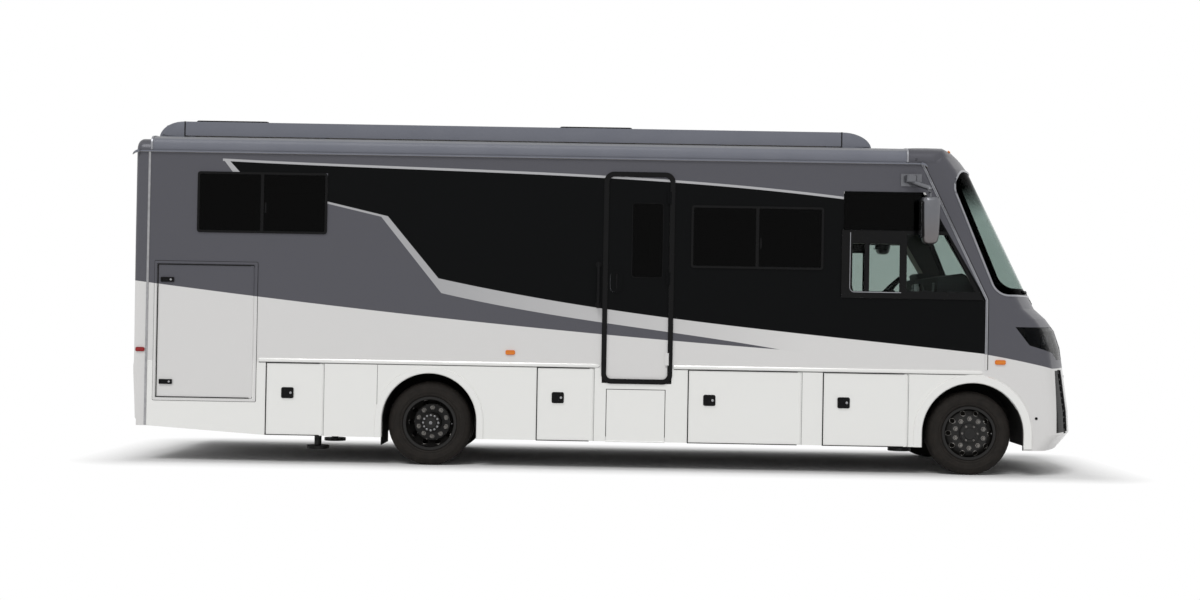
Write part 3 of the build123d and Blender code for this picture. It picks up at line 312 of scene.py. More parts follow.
class Finish(Nodes):
    """A material being made round one Principled shader, with the coach's own coordinates at hand."""

    def __init__(self, name, **constants):
        self.material = bpy.data.materials.new(name)
        super().__init__(self.material)
        sockets = {key.replace("_", " "): value for key, value in constants.items()}
        self.shader = self.node("ShaderNodeBsdfPrincipled", {}, sockets)
        self.node("ShaderNodeOutputMaterial", {}, {"Surface": self.shader.outputs[0]})
        self.place = self.node("ShaderNodeTexCoord").outputs["Object"]
        axes = self.node("ShaderNodeSeparateXYZ", {}, {0: self.place}).outputs
        self.x, self.y, self.z = (Number(self, axis) for axis in axes)

    def noise(self, scale, detail=3.0, stretch=(1, 1, 1)):
        place = self.node("ShaderNodeVectorMath", {"operation": "MULTIPLY"}, {0: self.place, 1: stretch})
        inputs = {"Vector": place.outputs[0], "Scale": scale, "Detail": detail}
        return Number(self, self.node("ShaderNodeTexNoise", {}, inputs).outputs[0])

    def cells(self, scale):
        node = self.node("ShaderNodeTexVoronoi", {}, {"Vector": self.place, "Scale": scale})
        return Number(self, node.outputs["Distance"])

    def facing(self, axis):
        """How far the surface faces along an axis, from -1 to 1."""
        normal = self.node("ShaderNodeNewGeometry").outputs["Normal"]
        return Number(self, self.node("ShaderNodeSeparateXYZ", {}, {0: normal}).outputs[axis])

    def blend(self, share, first, second):
        node = self.node("ShaderNodeMix", {"data_type": "RGBA"}, {0: share, 6: first, 7: second})
        return node.outputs[2]

    def give(self, **links):
        for key, value in links.items():
            socket = self.shader.inputs[key.replace("_", " ")]
            self.tree.links.new(value.socket if isinstance(value, Number) else value, socket)

    def bump(self, height, strength, distance=0.001):
        inputs = {"Height": height, "Strength": strength, "Distance": distance}
        self.give(Normal=self.node("ShaderNodeBump", {}, inputs).outputs[0])

    def surface(self, tone, roughness, grain, strength, depth):
        """Sets the colour, the roughness and the fine relief, and hands over the finished material."""
        self.give(Base_Color=tone, Roughness=roughness)
        self.bump(grain, strength, depth)
        return self.material

    def curve(self, points):
        """The height of the smooth line through (x, z) points, at each x."""
        factors = np.polyfit(*zip(*points), len(points) - 1)
        height = self.x * float(factors[0]) + float(factors[1])
        for factor in factors[2:]:
            height = height * self.x + float(factor)
        return height

    def beyond(self, start, end):
        """1 above and forward of the straight line between two (x, z) points."""
        (x0, z0), (x1, z1) = start, end
        length = math.hypot(x1 - x0, z1 - z0)
        across = (self.x - x0) * ((z0 - z1) / length) + (self.z - z0) * ((x1 - x0) / length)
        return across.above(0.0)


def road_dust(finish, colour, top=0.75, share=0.16):
    """Light dust that thickens towards the road."""
    low = (1 - finish.z / top).clamped()
    return finish.blend(low * finish.noise(9, 5) * share * 2, colour, srgb(150, 138, 122))


COACH_LACQUER = {"Specular_IOR_Level": 0.06, "Coat_Roughness": 0.04, "Coat_IOR": 1.38}
COACH_GLOSS = 0.4  # weight of the clear coat over white; grey has less
GREY_LOSS = 0.25


def lacquer(finish, colour, peel, metal=None, gloss=None):
    """The clear coat and flake that all coach paint shares; metal and gloss are given where they vary."""
    if metal is not None:
        colour = finish.blend(finish.noise(1400, 1) * metal * 0.18, colour, (0.5, 0.5, 0.53))
        finish.give(Metallic=metal * 0.35)
    if gloss is not None:
        finish.give(Coat_Weight=gloss)
    finish.give(Base_Color=road_dust(finish, colour, 0.6, 0.05), Roughness=finish.noise(2.2, 2) * 0.08 + 0.36)
    finish.bump(finish.noise(210, 2), peel, 0.0006)


def flank_paint(name):
    """Grey over white, parted by a falling sweep, with a black field bordered in silver above it."""
    paint = bpy.context.scene.coach_paint
    f = Finish(name, **COACH_LACQUER)
    front = f.x.above(STRIPE_END_X)
    stripe_top = f.curve(STRIPE_LINE) * (1 - front) + CAB_PANEL_TOP * front
    under_stripe = f.z.below(stripe_top)
    sweep = f.curve(SWEEP_LINE)
    grey = f.z.above(f.curve(WHITE_LINE)) * f.x.below(SWEEP_TIP_X)
    grey = grey.most(f.z.above(stripe_top))
    past_window = f.x.above(BEDROOM[1])
    band = f.beyond(*BORDER_EDGE[:2]).most(f.beyond(*BORDER_EDGE[1:]))
    band = band * past_window * under_stripe * f.z.above(sweep)
    over_window = f.z.above(BEDROOM[3]) * f.beyond(*reversed(TIP_INNER)).most(f.beyond(*TIP_INNER))
    field = f.beyond(*FIELD_EDGE[:2]).most(f.beyond(*FIELD_EDGE[1:])) * past_window
    field = field.most(over_window * f.beyond(*TIP_INNER)) * under_stripe * f.z.above(f.curve(BLACK_LINE))
    field = field * f.z.below(stripe_top - STRIPE_WIDTH)
    stripe = f.z.above(stripe_top - STRIPE_WIDTH) * under_stripe
    stripe = stripe * f.x.below(STRIPE_END_X) * f.x.above(TIP_OUTER[0][0])
    tip = f.beyond(*TIP_OUTER) * (1 - f.beyond(*TIP_INNER)) * f.z.above(BEDROOM[3]) * under_stripe
    stripe = stripe.most(tip)
    fade = ((FADE_FRONT - f.x) / FADE_LENGTH).clamped()
    outside = f.y.size().above(SKIN - 0.012)
    colour = f.blend(grey, tuple(paint.white), tuple(paint.grey))
    colour = f.blend(band, colour, f.blend(fade, tuple(paint.white), tuple(paint.silver)))
    colour = f.blend(field, colour, tuple(paint.black))
    colour = f.blend(stripe, colour, tuple(paint.silver))
    colour = f.blend(outside, tuple(bpy.context.scene.coach_cab.liner), colour)
    metal = (grey * (1 - field) * (1 - band)).most(stripe) * outside
    lacquer(f, colour, paint.peel, metal, COACH_GLOSS - (grey * GREY_LOSS).most(field * 0.38))
    return f.material


def cap_paint(name):
    """Grey over white on the moulded front cap, with a dark inside."""
    paint = bpy.context.scene.coach_paint
    f = Finish(name, **COACH_LACQUER)
    line = f.curve(CAP_LINE)
    level = np.polyval(np.polyfit(*zip(*CAP_LINE), 2), NOSE_LINE_X)
    line = line.most(float(level)) * f.x.below(NOSE_LINE_X) + f.x.above(NOSE_LINE_X) * float(level)
    grey = f.z.above(line)
    outward = f.facing(0) * (f.x - CAP_HEART_X) + f.facing(1) * f.y + f.facing(2) * (f.z - CAP_HEART_Z)
    outside = outward.above(-0.12, 0.02)
    colour = f.blend(grey, tuple(paint.white), tuple(paint.grey))
    vent = f.x.above(VENT_REAR_X, 0.004) * f.y.size().above(VENT_INNER_Y, 0.004)
    vent = vent * f.z.above(VENT_FOOT, 0.004) * f.z.below(VENT_TOP)
    grain = (f.z * 300).wave().above(0.2, 0.5)
    colour = f.blend(vent, colour, f.blend(grain, srgb(10, 10, 11), srgb(26, 27, 28)))
    colour = f.blend(outside, srgb(70, 68, 66), colour)
    shown = outside * (1 - vent)
    lacquer(f, colour, paint.peel, grey * shown, shown * (COACH_GLOSS - grey * GREY_LOSS))
    return f.material


def rear_paint(name):
    """Grey over white on the rear cap, level across the back."""
    paint = bpy.context.scene.coach_paint
    f = Finish(name, Coat_Weight=COACH_GLOSS, **COACH_LACQUER)
    grey = f.z.above(f.curve(WHITE_LINE))
    lacquer(f, f.blend(grey, tuple(paint.white), tuple(paint.grey)), paint.peel, metal=grey)
    return f.material


def white_paint(name):
    """White lacquer, a little warmer and dustier towards the road."""
    paint = bpy.context.scene.coach_paint
    f = Finish(name, Coat_Weight=0.45, **COACH_LACQUER)
    warm = (1 - (f.z - 0.25) / 0.5).clamped()
    lacquer(f, f.blend(warm * 0.5, tuple(paint.white), srgb(222, 212, 202)), paint.peel)
    return f.material


def roof_skin(name):
    """Grained grey moulding, paler on its upward faces as a painted highlight, and lined below."""
    f = Finish(name, Coat_Weight=0.08)
    up = f.facing(2)
    tone = f.blend(f.noise(3, 6) * 0.5, tuple(bpy.context.scene.coach_paint.roof), srgb(128, 130, 138))
    # upward faces blend to a paler grey: a painted highlight of the light from above
    tone = f.blend(up.above(0.7, 0.2) * 0.35, tone, srgb(168, 168, 166))
    tone = f.blend(up.below(-0.5, 0.1), tone, tuple(bpy.context.scene.coach_cab.liner))
    return f.surface(tone, f.noise(60, 4) * 0.25 + 0.42, f.noise(480, 4), 0.35, 0.0012)


def black_plastic(name):
    """Moulded black plastic with a fine grain."""
    f = Finish(name, Specular_IOR_Level=0.06)
    tone = f.blend(f.noise(40, 4), srgb(17, 17, 18), srgb(29, 29, 30))
    return f.surface(tone, f.noise(90, 3) * 0.2 + 0.5, f.cells(900), 0.22, 0.0005)


def gloss_black(name):
    """Smooth black trim."""
    f = Finish(name, Roughness=0.16, Specular_IOR_Level=0.1, Coat_Weight=0.06, Coat_Roughness=0.05)
    f.give(Base_Color=f.blend(f.noise(5, 2), srgb(8, 8, 9), srgb(14, 14, 15)))
    f.bump(f.noise(160, 2), 0.03, 0.0006)
    return f.material


def gasket(name):
    """Matt rubber seal."""
    f = Finish(name, Specular_IOR_Level=0.12)
    tone = f.blend(f.noise(70, 5), srgb(17, 17, 17), srgb(34, 33, 32))
    return f.surface(tone, f.noise(30, 3) * 0.2 + 0.62, f.noise(900, 3), 0.3, 0.0004)


def tyre_rubber(name):
    """Carbon-black rubber, browner in dusty patches."""
    f = Finish(name, Specular_IOR_Level=0.14)
    dust = f.noise(14, 6)
    tone = f.blend(dust * 0.55, srgb(26, 25, 24), srgb(56, 50, 45))
    return f.surface(tone, f.noise(45, 4) * 0.2 + 0.6, f.noise(650, 4), 0.35, 0.0006)


def privacy_glass(name):
    """Dark living-area panes; the cab's own window is lighter and can be seen through."""
    f = Finish(name, Roughness=0.0, IOR=1.14, Transmission_Weight=1.0)
    pane = f.x.above(CAB_REAR) * f.z.below(CAB_TOP + 0.003)
    dark = f.blend(f.noise(0.7, 2), srgb(9, 12, 14), srgb(16, 21, 24))
    light = f.blend(f.noise(1.3, 1), srgb(178, 189, 185), srgb(184, 194, 190))
    f.give(Base_Color=f.blend(pane, dark, light))
    f.bump(f.noise(2.4, 1), 0.02, 0.001)
    return f.material


def screen_glass(name):
    """Green-tinted laminated glass with a black printed border and a dark shade along its top."""
    f = Finish(name, Roughness=0.0, IOR=1.01, Transmission_Weight=1.0)
    low, high, corner = SCREEN_FOOT, SCREEN_TOP, SCREEN_CORNER
    set_back = SCREEN_REAR[0] - SCREEN_REAR[1]
    slant = math.hypot(high - low, set_back)
    across = ((f.x - SCREEN_REAR[0]) * (high - low) + (f.z - low) * set_back) / slant
    inward = (corner - across).most(0.0)
    level = (corner - (f.z - low).least(high - f.z)).most(0.0)
    border = (inward * inward + level * level).root().above(corner - SCREEN_BORDER, 0.004)
    shade = ((f.z - SHADE_FOOT) / SHADE_DEPTH).clamped()
    tint = f.blend(f.noise(1.1, 1), srgb(172, 184, 180), srgb(180, 191, 187))
    f.give(Base_Color=f.blend(border.most(shade), tint, srgb(7, 8, 8)))
    f.bump(f.noise(1.6, 1), 0.02, 0.001)
    return f.material


def satin_black_wheel(name):
    """Satin black wheel paint with dust in the corners."""
    f = Finish(name, Specular_IOR_Level=0.25, Coat_Weight=0.08, Coat_Roughness=0.2)
    dust = f.noise(30, 6)
    tone = f.blend(dust * 0.45, srgb(12, 12, 12), srgb(36, 33, 30))
    return f.surface(tone, dust * 0.3 + 0.3, f.noise(380, 3), 0.15, 0.0005)


def dull_steel(name):
    """Plated steel with a brushed grain and dull patches."""
    f = Finish(name, Metallic=1.0)
    patch = f.noise(22, 5)
    tone = f.blend(patch, srgb(132, 132, 134), srgb(176, 176, 178))
    return f.surface(tone, patch * 0.3 + 0.24, f.noise(240, 3, (1, 1, 12)), 0.12, 0.0004)


def jack_steel(name):
    """Oiled jack rod with a coppery film, above a black foot."""
    f = Finish(name)
    rod = f.z.above(JACK_FOOT_TOP)
    rust = f.noise(38, 6).above(0.56, 0.12)
    film = f.blend(f.noise(12, 3), srgb(112, 74, 56), srgb(142, 100, 76))
    film = f.blend(rust * 0.6, film, srgb(92, 52, 34))
    f.give(Base_Color=f.blend(rod, srgb(17, 17, 17), film), Metallic=rod * 0.7, Roughness=rust * 0.3 + 0.42)
    f.bump(rust * f.noise(300, 4), 0.3, 0.0006)
    return f.material


def chassis_paint(name):
    """Black chassis paint, chipped and dusty."""
    f = Finish(name, Specular_IOR_Level=0.2)
    dust = f.noise(6, 6)
    up = f.facing(2).above(0.5, 0.4)
    tone = f.blend(dust * 0.5 + up * 0.15, srgb(24, 24, 25), srgb(78, 71, 62))
    return f.surface(tone, dust * 0.3 + 0.48, f.noise(160, 5), 0.3, 0.0008)


def grey_liner(name):
    """Moulded grey liner of the bays, floor and tanks."""
    f = Finish(name)
    tone = f.blend(f.noise(5, 5), srgb(62, 62, 62), srgb(84, 82, 80))
    return f.surface(tone, f.noise(50, 3) * 0.2 + 0.55, f.noise(420, 3), 0.25, 0.0008)


def seat_leather(name):
    """Grained leather, paler in patches."""
    cab = bpy.context.scene.coach_cab
    f = Finish(name, Specular_IOR_Level=0.4, Sheen_Weight=0.08)
    pale = tuple(min(1.0, channel * 1.25) for channel in cab.leather)
    tone = f.blend(f.noise(9, 5), tuple(cab.leather), pale)
    return f.surface(tone, f.noise(40, 3) * 0.2 + 0.42, f.cells(420), 0.45, 0.0008)


def seat_piping(name):
    """Dark welt along the seams."""
    f = Finish(name)
    tone = tuple(bpy.context.scene.coach_cab.piping)
    tone = f.blend(f.noise(60, 3), tone, srgb(92, 88, 83))
    return f.surface(tone, f.noise(80, 2) * 0.2 + 0.5, f.noise(700, 3), 0.3, 0.0004)


def dash_plastic(name):
    """Soft-touch dash skin."""
    f = Finish(name, Specular_IOR_Level=0.3)
    tone = tuple(bpy.context.scene.coach_cab.trim)
    tone = f.blend(f.noise(7, 4), tone, srgb(54, 53, 54))
    return f.surface(tone, f.noise(60, 3) * 0.15 + 0.55, f.cells(700), 0.4, 0.0006)


def lens_finish(name, deep, pale, glow, alpha=1.0, coat=0.15):
    """A moulded lens with flutes and a little inner light."""
    f = Finish(name, Roughness=0.08, Specular_IOR_Level=coat * 2, Coat_Weight=coat, Coat_Roughness=0.03,
               Emission_Strength=glow, Alpha=alpha)
    flutes = (f.z * 420).wave() * 0.5 + 0.5
    tone = f.blend(flutes * 0.45 + f.noise(30, 2) * 0.2, deep, pale)
    f.give(Base_Color=tone, Emission_Color=tone)
    f.bump(flutes, 0.35, 0.0012)
    return f.material


def chrome(name):
    """Reflector plating."""
    f = Finish(name, Metallic=1.0)
    tone = f.blend(f.noise(14, 3), srgb(206, 208, 212), srgb(228, 229, 232))
    return f.surface(tone, f.noise(25, 3) * 0.08 + 0.06, f.noise(90, 2), 0.05, 0.0004)


def dark_chrome(name):
    """Smoked plating of nuts and studs."""
    f = Finish(name, Metallic=1.0)
    tone = f.blend(f.noise(60, 4), srgb(96, 94, 92), srgb(140, 137, 133))
    return f.surface(tone, f.noise(90, 3) * 0.2 + 0.16, f.noise(300, 2), 0.08, 0.0003)


def mirror_shell(name):
    """Silver-grey lacquer of the mirror heads and arms, warmer towards their lower ends as a painted
    reflection.
    """
    f = Finish(name, Coat_Weight=0.25, Coat_Roughness=0.08)
    tone = f.blend(f.noise(6, 3), srgb(98, 99, 104), srgb(116, 117, 121))
    # towards the bottom the tone turns warm brown: a painted reflection of the ground in the metallic shell
    warm = (1 - (f.z - 2.24) / 0.3).clamped()
    f.give(Base_Color=f.blend(warm * 0.35, tone, srgb(118, 104, 94)), Metallic=0.75 + f.noise(30, 2) * 0.1,
           Roughness=f.noise(50, 3) * 0.1 + 0.28)
    f.bump(f.noise(300, 2), 0.06, 0.0005)
    return f.material


def trim_grey(name):
    """Satin grey strip, white below the paint line."""
    f = Finish(name, Coat_Weight=0.2, Coat_Roughness=0.1)
    white = f.z.below(1.185, 0.004)
    grey = f.blend(f.noise(24, 3), srgb(136, 137, 142), srgb(160, 161, 166))
    f.give(Base_Color=f.blend(white, grey, tuple(bpy.context.scene.coach_paint.white)),
           Metallic=(1 - white) * 0.6, Roughness=f.noise(60, 3) * 0.12 + 0.26)
    f.bump(f.noise(350, 2, (1, 1, 6)), 0.08, 0.0004)
    return f.material


PLAIN_FINISHES = {maker.__name__: maker for maker in (
    flank_paint, cap_paint, rear_paint, white_paint, roof_skin, black_plastic, gloss_black, gasket,
    tyre_rubber, privacy_glass, screen_glass, satin_black_wheel, dull_steel, jack_steel, chassis_paint,
    grey_liner, seat_leather, seat_piping, dash_plastic, chrome, dark_chrome, mirror_shell, trim_grey)}
# lenses: deep colour, pale colour, inner light, and for the clear cover its alpha and coat
LENSES = {
    "amber_lens": (srgb(196, 96, 12), srgb(240, 152, 48), 0.12),
    "red_lens": (srgb(120, 10, 12), srgb(178, 28, 28), 0.08),
    "clear_lens": (srgb(5, 6, 8), srgb(14, 16, 19), 0.0, 0.6, 0.03),
    "lamp_white": (srgb(206, 212, 220), srgb(240, 243, 248), 0.12),
}


def finish_of(name):
    """The material of that name, made the first time it is asked for."""
    if name in bpy.data.materials:
        return bpy.data.materials[name]
    return lens_finish(name, *LENSES[name]) if name in LENSES else PLAIN_FINISHES[name](name)


def coat(finish, *nodes):
    """Gives carried-over CAD nodes a finish."""
    for node in nodes:
        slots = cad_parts[node].data.materials
        slots.clear()
        slots.append(finish_of(finish))


# ---------------------------------------------------------------- shapes
def stand(name, data):
    """A new object in the scene that shows a mesh, a lamp or a camera."""
    made = bpy.data.objects.new(name, data)
    bpy.context.scene.collection.objects.link(made)
    return made


def y_span(side, inner, outer):
    """Two distances from the centre plane on one side of the coach, in rising order of y."""
    return sorted((side * inner, side * outer))


def around(centre, radius, angle):
    """The point at an angle on a circle."""
    return centre[0] + radius * math.cos(angle), centre[1] + radius * math.sin(angle)


def circle(count, radius, centre=(0, 0), turn=0.0):
    """Points spread evenly round a circle."""
    return [around(centre, radius, turn + 2 * math.pi * i / count) for i in range(count)]


def rounded(x0, x1, z0, z1, radius, steps=6):
    """A rectangle with round corners as a closed loop of points."""
    corners = ((x1 - radius, z1 - radius, 0), (x0 + radius, z1 - radius, 90),
               (x0 + radius, z0 + radius, 180), (x1 - radius, z0 + radius, 270))
    loop = []
    for cx, cz, start in corners:
        for step in range(steps + 1):
            loop.append(around((cx, cz), radius, math.radians(start + 90 * step / steps)))
    return loop


def nose_x(y, centre_x):
    """How far forward the rounded nose reaches at a width, from its reach on the centre plane."""
    bow = centre_x - NOSE_BOW
    side_y = SKIN - NOSE_CORNER
    if abs(y) <= side_y * NOSE_BOW / (NOSE_BOW - NOSE_CORNER):
        return bow + math.sqrt(NOSE_BOW ** 2 - y ** 2)
    corner_x = bow + math.sqrt((NOSE_BOW - NOSE_CORNER) ** 2 - side_y ** 2)
    return corner_x + math.sqrt(max(0.0, NOSE_CORNER ** 2 - (abs(y) - side_y) ** 2))


def nose_y(x, centre_x):
    """How far out the rounded nose lies at a length, from its reach on the centre plane."""
    bow = centre_x - NOSE_BOW
    side_y = SKIN - NOSE_CORNER
    corner_x = bow + math.sqrt((NOSE_BOW - NOSE_CORNER) ** 2 - side_y ** 2)
    if x <= corner_x:
        return SKIN
    meet_x = bow + (corner_x - bow) * NOSE_BOW / (NOSE_BOW - NOSE_CORNER)
    if x <= meet_x:
        return side_y + math.sqrt(max(0.0, NOSE_CORNER ** 2 - (x - corner_x) ** 2))
    return math.sqrt(max(0.0, NOSE_BOW ** 2 - (x - bow) ** 2))


def fillet(corner, first, second, radius, steps=10):
    """Points round a corner, from the first to the second of two (x, z) unit directions that leave it."""
    corner, first, second = Vector(corner), Vector(first), Vector(second)
    half = first.angle(second) / 2
    centre = corner + (first + second).normalized() * (radius / math.sin(half))
    start = corner + first * (radius / math.tan(half)) - centre
    end = corner + second * (radius / math.tan(half)) - centre
    points = []
    for share in np.linspace(0, 1, steps):
        points.append(tuple(centre + start.lerp(end, float(share)).normalized() * radius))
    return points


def nose_reach(z):
    """How far forward the nose reaches on the centre plane at a height."""
    return float(np.interp(z, *zip(*NOSE_PROFILE)))


class Shape:
    """A mesh being put together from bevelled, turned, swept and lofted forms."""

    def __init__(self):
        self.bm = bmesh.new()

    def loops(self, rings, closed=False, capped=True):
        """Joins rings of equally many points, end to end."""
        made = [[self.bm.verts.new(p) for p in ring] for ring in rings]
        pairs = list(zip(made, made[1:])) + ([(made[-1], made[0])] if closed else [])
        for a, b in pairs:
            for i in range(len(a)):
                j = (i + 1) % len(a)
                self.bm.faces.new((a[i], a[j], b[j], b[i]))
        if capped and not closed:
            self.bm.faces.new(made[0])
            self.bm.faces.new(made[-1])
        return made

    def soften(self, rings, width, segments=2):
        """Bevels the sharp edges that lie within some rings."""
        verts = {v for ring in rings for v in ring}
        edges = [e for e in self.bm.edges if e.verts[0] in verts and e.verts[1] in verts
                 and len(e.link_faces) == 2 and e.calc_face_angle(0) > math.radians(40)]
        bmesh.ops.bevel(
            self.bm, geom=edges, offset=width, segments=segments, affect="EDGES", clamp_overlap=True)

    def prism(self, outline, near, far, bevel=0.0, axis="Y"):
        """An (x, z) outline carried across Y, or a (y, z) outline carried along X."""
        place = (lambda p, d: (p[0], d, p[1])) if axis == "Y" else (lambda p, d: (d, p[0], p[1]))
        rings = self.loops([[place(p, d) for p in outline] for d in (near, far)])
        if bevel:
            self.soften(rings, bevel)

    def box(self, low, high, bevel=0.0):
        (x0, y0, z0), (x1, y1, z1) = low, high
        self.prism([(x0, z0), (x1, z0), (x1, z1), (x0, z1)], y0, y1, bevel)

    def frame(self, outer, inner, near, far, bevel=0.0):
        """A ring between two (x, z) outlines of equally many points."""
        rings = [[(x, y, z) for x, z in loop] for loop, y in
                 ((outer, near), (outer, far), (inner, far), (inner, near))]
        made = self.loops(rings, closed=True)
        if bevel:
            self.soften(made, bevel)

    def lathe(self, profile, centre, steps=48):
        """A (radius, y) profile turned round an axis along Y through a centre (x, z)."""
        self.loops([[(x, y, z) for x, z in circle(steps, radius, centre)] for radius, y in profile])

    def puck(self, profile, side, centre, steps):
        """A turned fitting on one side of the coach; the profile's second numbers are |y|."""
        self.lathe([(radius, side * out) for radius, out in profile], centre, steps)

    def tube(self, points, radius, sides=12):
        """A round bar along points."""
        path = [Vector(p) for p in points]
        rings = []
        up = Vector((0, 0, 1))
        for i, point in enumerate(path):
            run = (path[min(i + 1, len(path) - 1)] - path[max(i - 1, 0)]).normalized()
            guide = up if abs(run.dot(up)) < 0.95 else Vector((0, 1, 0))
            across = run.cross(guide).normalized()
            over = across.cross(run)
            rings.append([point + (across * c + over * s) * radius for c, s in circle(sides, 1.0)])
        self.loops(rings)

    def strip(self, points, section):
        """A (across, out) section carried along (x, y, z, across direction, out direction) stations."""
        rings = []
        for at, across, out in points:
            rings.append([Vector(at) + Vector(across) * s + Vector(out) * t for s, t in section])
        self.loops(rings)

    def take(self, other, matrix):
        """Takes in another shape, placed by a matrix."""
        other.turned(matrix)
        mesh = bpy.data.meshes.new("part")
        other.bm.to_mesh(mesh)
        other.bm.free()
        self.bm.from_mesh(mesh)
        bpy.data.meshes.remove(mesh)

    def turned(self, matrix):
        """Moves the whole shape by a matrix."""
        bmesh.ops.transform(self.bm, matrix=matrix, verts=self.bm.verts)

    def make(self, name, finish, body="coach", slot="black_trim"):
        """Closes the work: one piece with its finish, riding on a body."""
        bmesh.ops.remove_doubles(self.bm, verts=self.bm.verts, dist=1e-6)
        bmesh.ops.recalc_face_normals(self.bm, faces=self.bm.faces)
        for face in self.bm.faces:
            face.smooth = True
        for edge in self.bm.edges:
            edge.smooth = len(edge.link_faces) == 2 and edge.calc_face_angle(0) < math.radians(32)
        mesh = bpy.data.meshes.new(name)
        self.bm.to_mesh(mesh)
        self.bm.free()
        mesh.materials.append(finish_of(finish))
        piece = stand(name, mesh)
        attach(piece, body)
        return piece


class CoachOperator(bpy.types.Operator):
    """One step of the build."""
    bl_options = {"REGISTER", "UNDO"}

    def execute(self, context):
        self.build(context.scene)
        return {"FINISHED"}


# ---------------------------------------------------------------- coachwork
class COACH_OT_paint(CoachOperator):
    """Paints the carried-over coachwork, chassis and cab nodes"""
    bl_idname = "coach.paint"
    bl_label = "Paint the coach"

    def build(self, scene):
        coat("flank_paint", "right_sidewall", "left_sidewall", "entry_door", "tall_locker_door_left",
             "tall_locker_door_right")
        coat("cap_paint", "front_cap")
        coat("rear_paint", "rear_cap")
        lids = [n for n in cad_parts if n.startswith("bay_door_")]
        coat("white_paint", "right_skirt", "left_skirt", "arch_flares", "entry_step", *lids)
        coat("roof_skin", "roof", "roof_fairings", "gutters")
        coat("black_plastic", "air_conditioners", "mud_flaps", "grab_handle", "wipers", "grille")
        coat("gloss_black", "entry_door_frame")
        coat("mirror_shell", "mirrors")
        coat("privacy_glass", "side_windows", "entry_door_window")
        coat("screen_glass", "windshield")
        coat("chassis_paint", "chassis_frame", "drive_shaft", "engine", "front_axle", "hitch_receiver",
             "knuckle_left", "knuckle_right", "leaf_springs", "rear_axle")
        coat("grey_liner", "floor", "storage_bays", "tanks")
        coat("jack_steel", *[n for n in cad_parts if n.startswith("jack_")])
        coat("dash_plastic", "dashboard")
        coat("clear_lens", "headlights")
        coat("red_lens", "taillights")
        coat("satin_black_wheel", *[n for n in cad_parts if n.startswith("wheel_")])


class COACH_OT_window_frames(CoachOperator):
    """Frames, mullions and sliders of the side windows"""
    bl_idname = "coach.window_frames"
    bl_label = "Window frames"

    def pane(self, shape, trim, pane, face, proud):
        """A pane's frame, the bar down its middle and the pull of its slider."""
        x0, x1, z0, z1 = pane
        width, bar = trim.frame_width, trim.mullion_width
        shape.frame(rounded(x0, x1, z0, z1, 0.028),
                    rounded(x0 + width, x1 - width, z0 + width, z1 - width, 0.014), face, proud, 0.002)
        near, far = sorted((face, proud))
        bar_end = (x0 + x1) / 2 + bar / 2
        shape.box((bar_end - bar, near, z0 + width), (bar_end, far, z1 - width), 0.002)
        shape.box((bar_end + 0.012, near, z0 + 0.20), (bar_end + 0.026, far, z0 + 0.30), 0.003)

    def cab_bead(self, side, word):
        """The pale bead along the rear and foot of the cab window, with a round corner between."""
        foot, radius = 1.773, 0.045
        corner = [(CAB_HAIRLINE_X + radius * (1 - math.sin(a)), foot + radius * (1 - math.cos(a)))
                  for a in np.linspace(math.pi / 2, 0, 6)]
        line = [(CAB_HAIRLINE_X, 2.352), *corner, (2.800, foot)]
        bead = Shape()
        bead.tube([(x, side * (GLASS_FACE + 0.005), z) for x, z in line], 0.004, 8)
        bead.make(f"cab_window_bead_{word}", "trim_grey")

    def build(self, scene):
        for side, word in SIDES:
            face, proud = side * (GLASS_FACE - 0.004), side * (GLASS_FACE + 0.004)
            shape = Shape()
            for pane in (BEDROOM, LOUNGE):
                self.pane(shape, scene.coach_trim, pane, face, proud)
            for outer, inner in CAB_LIGHTS:
                shape.frame(outer, inner, face, proud, 0.002)
            shape.make(f"window_frames_{word}", "gloss_black")
            self.cab_bead(side, word)
        low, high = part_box("entry_door_window")
        rim = 0.006
        opening = rounded(low.x + rim, high.x - rim, low.z + rim, high.z - rim, 0.026)
        shape = Shape()
        shape.frame(rounded(low.x, high.x, low.z, high.z, 0.03), opening, -1.280, -1.2835, 0.001)
        shape.make("door_window_frame", "black_plastic", "entry_door")


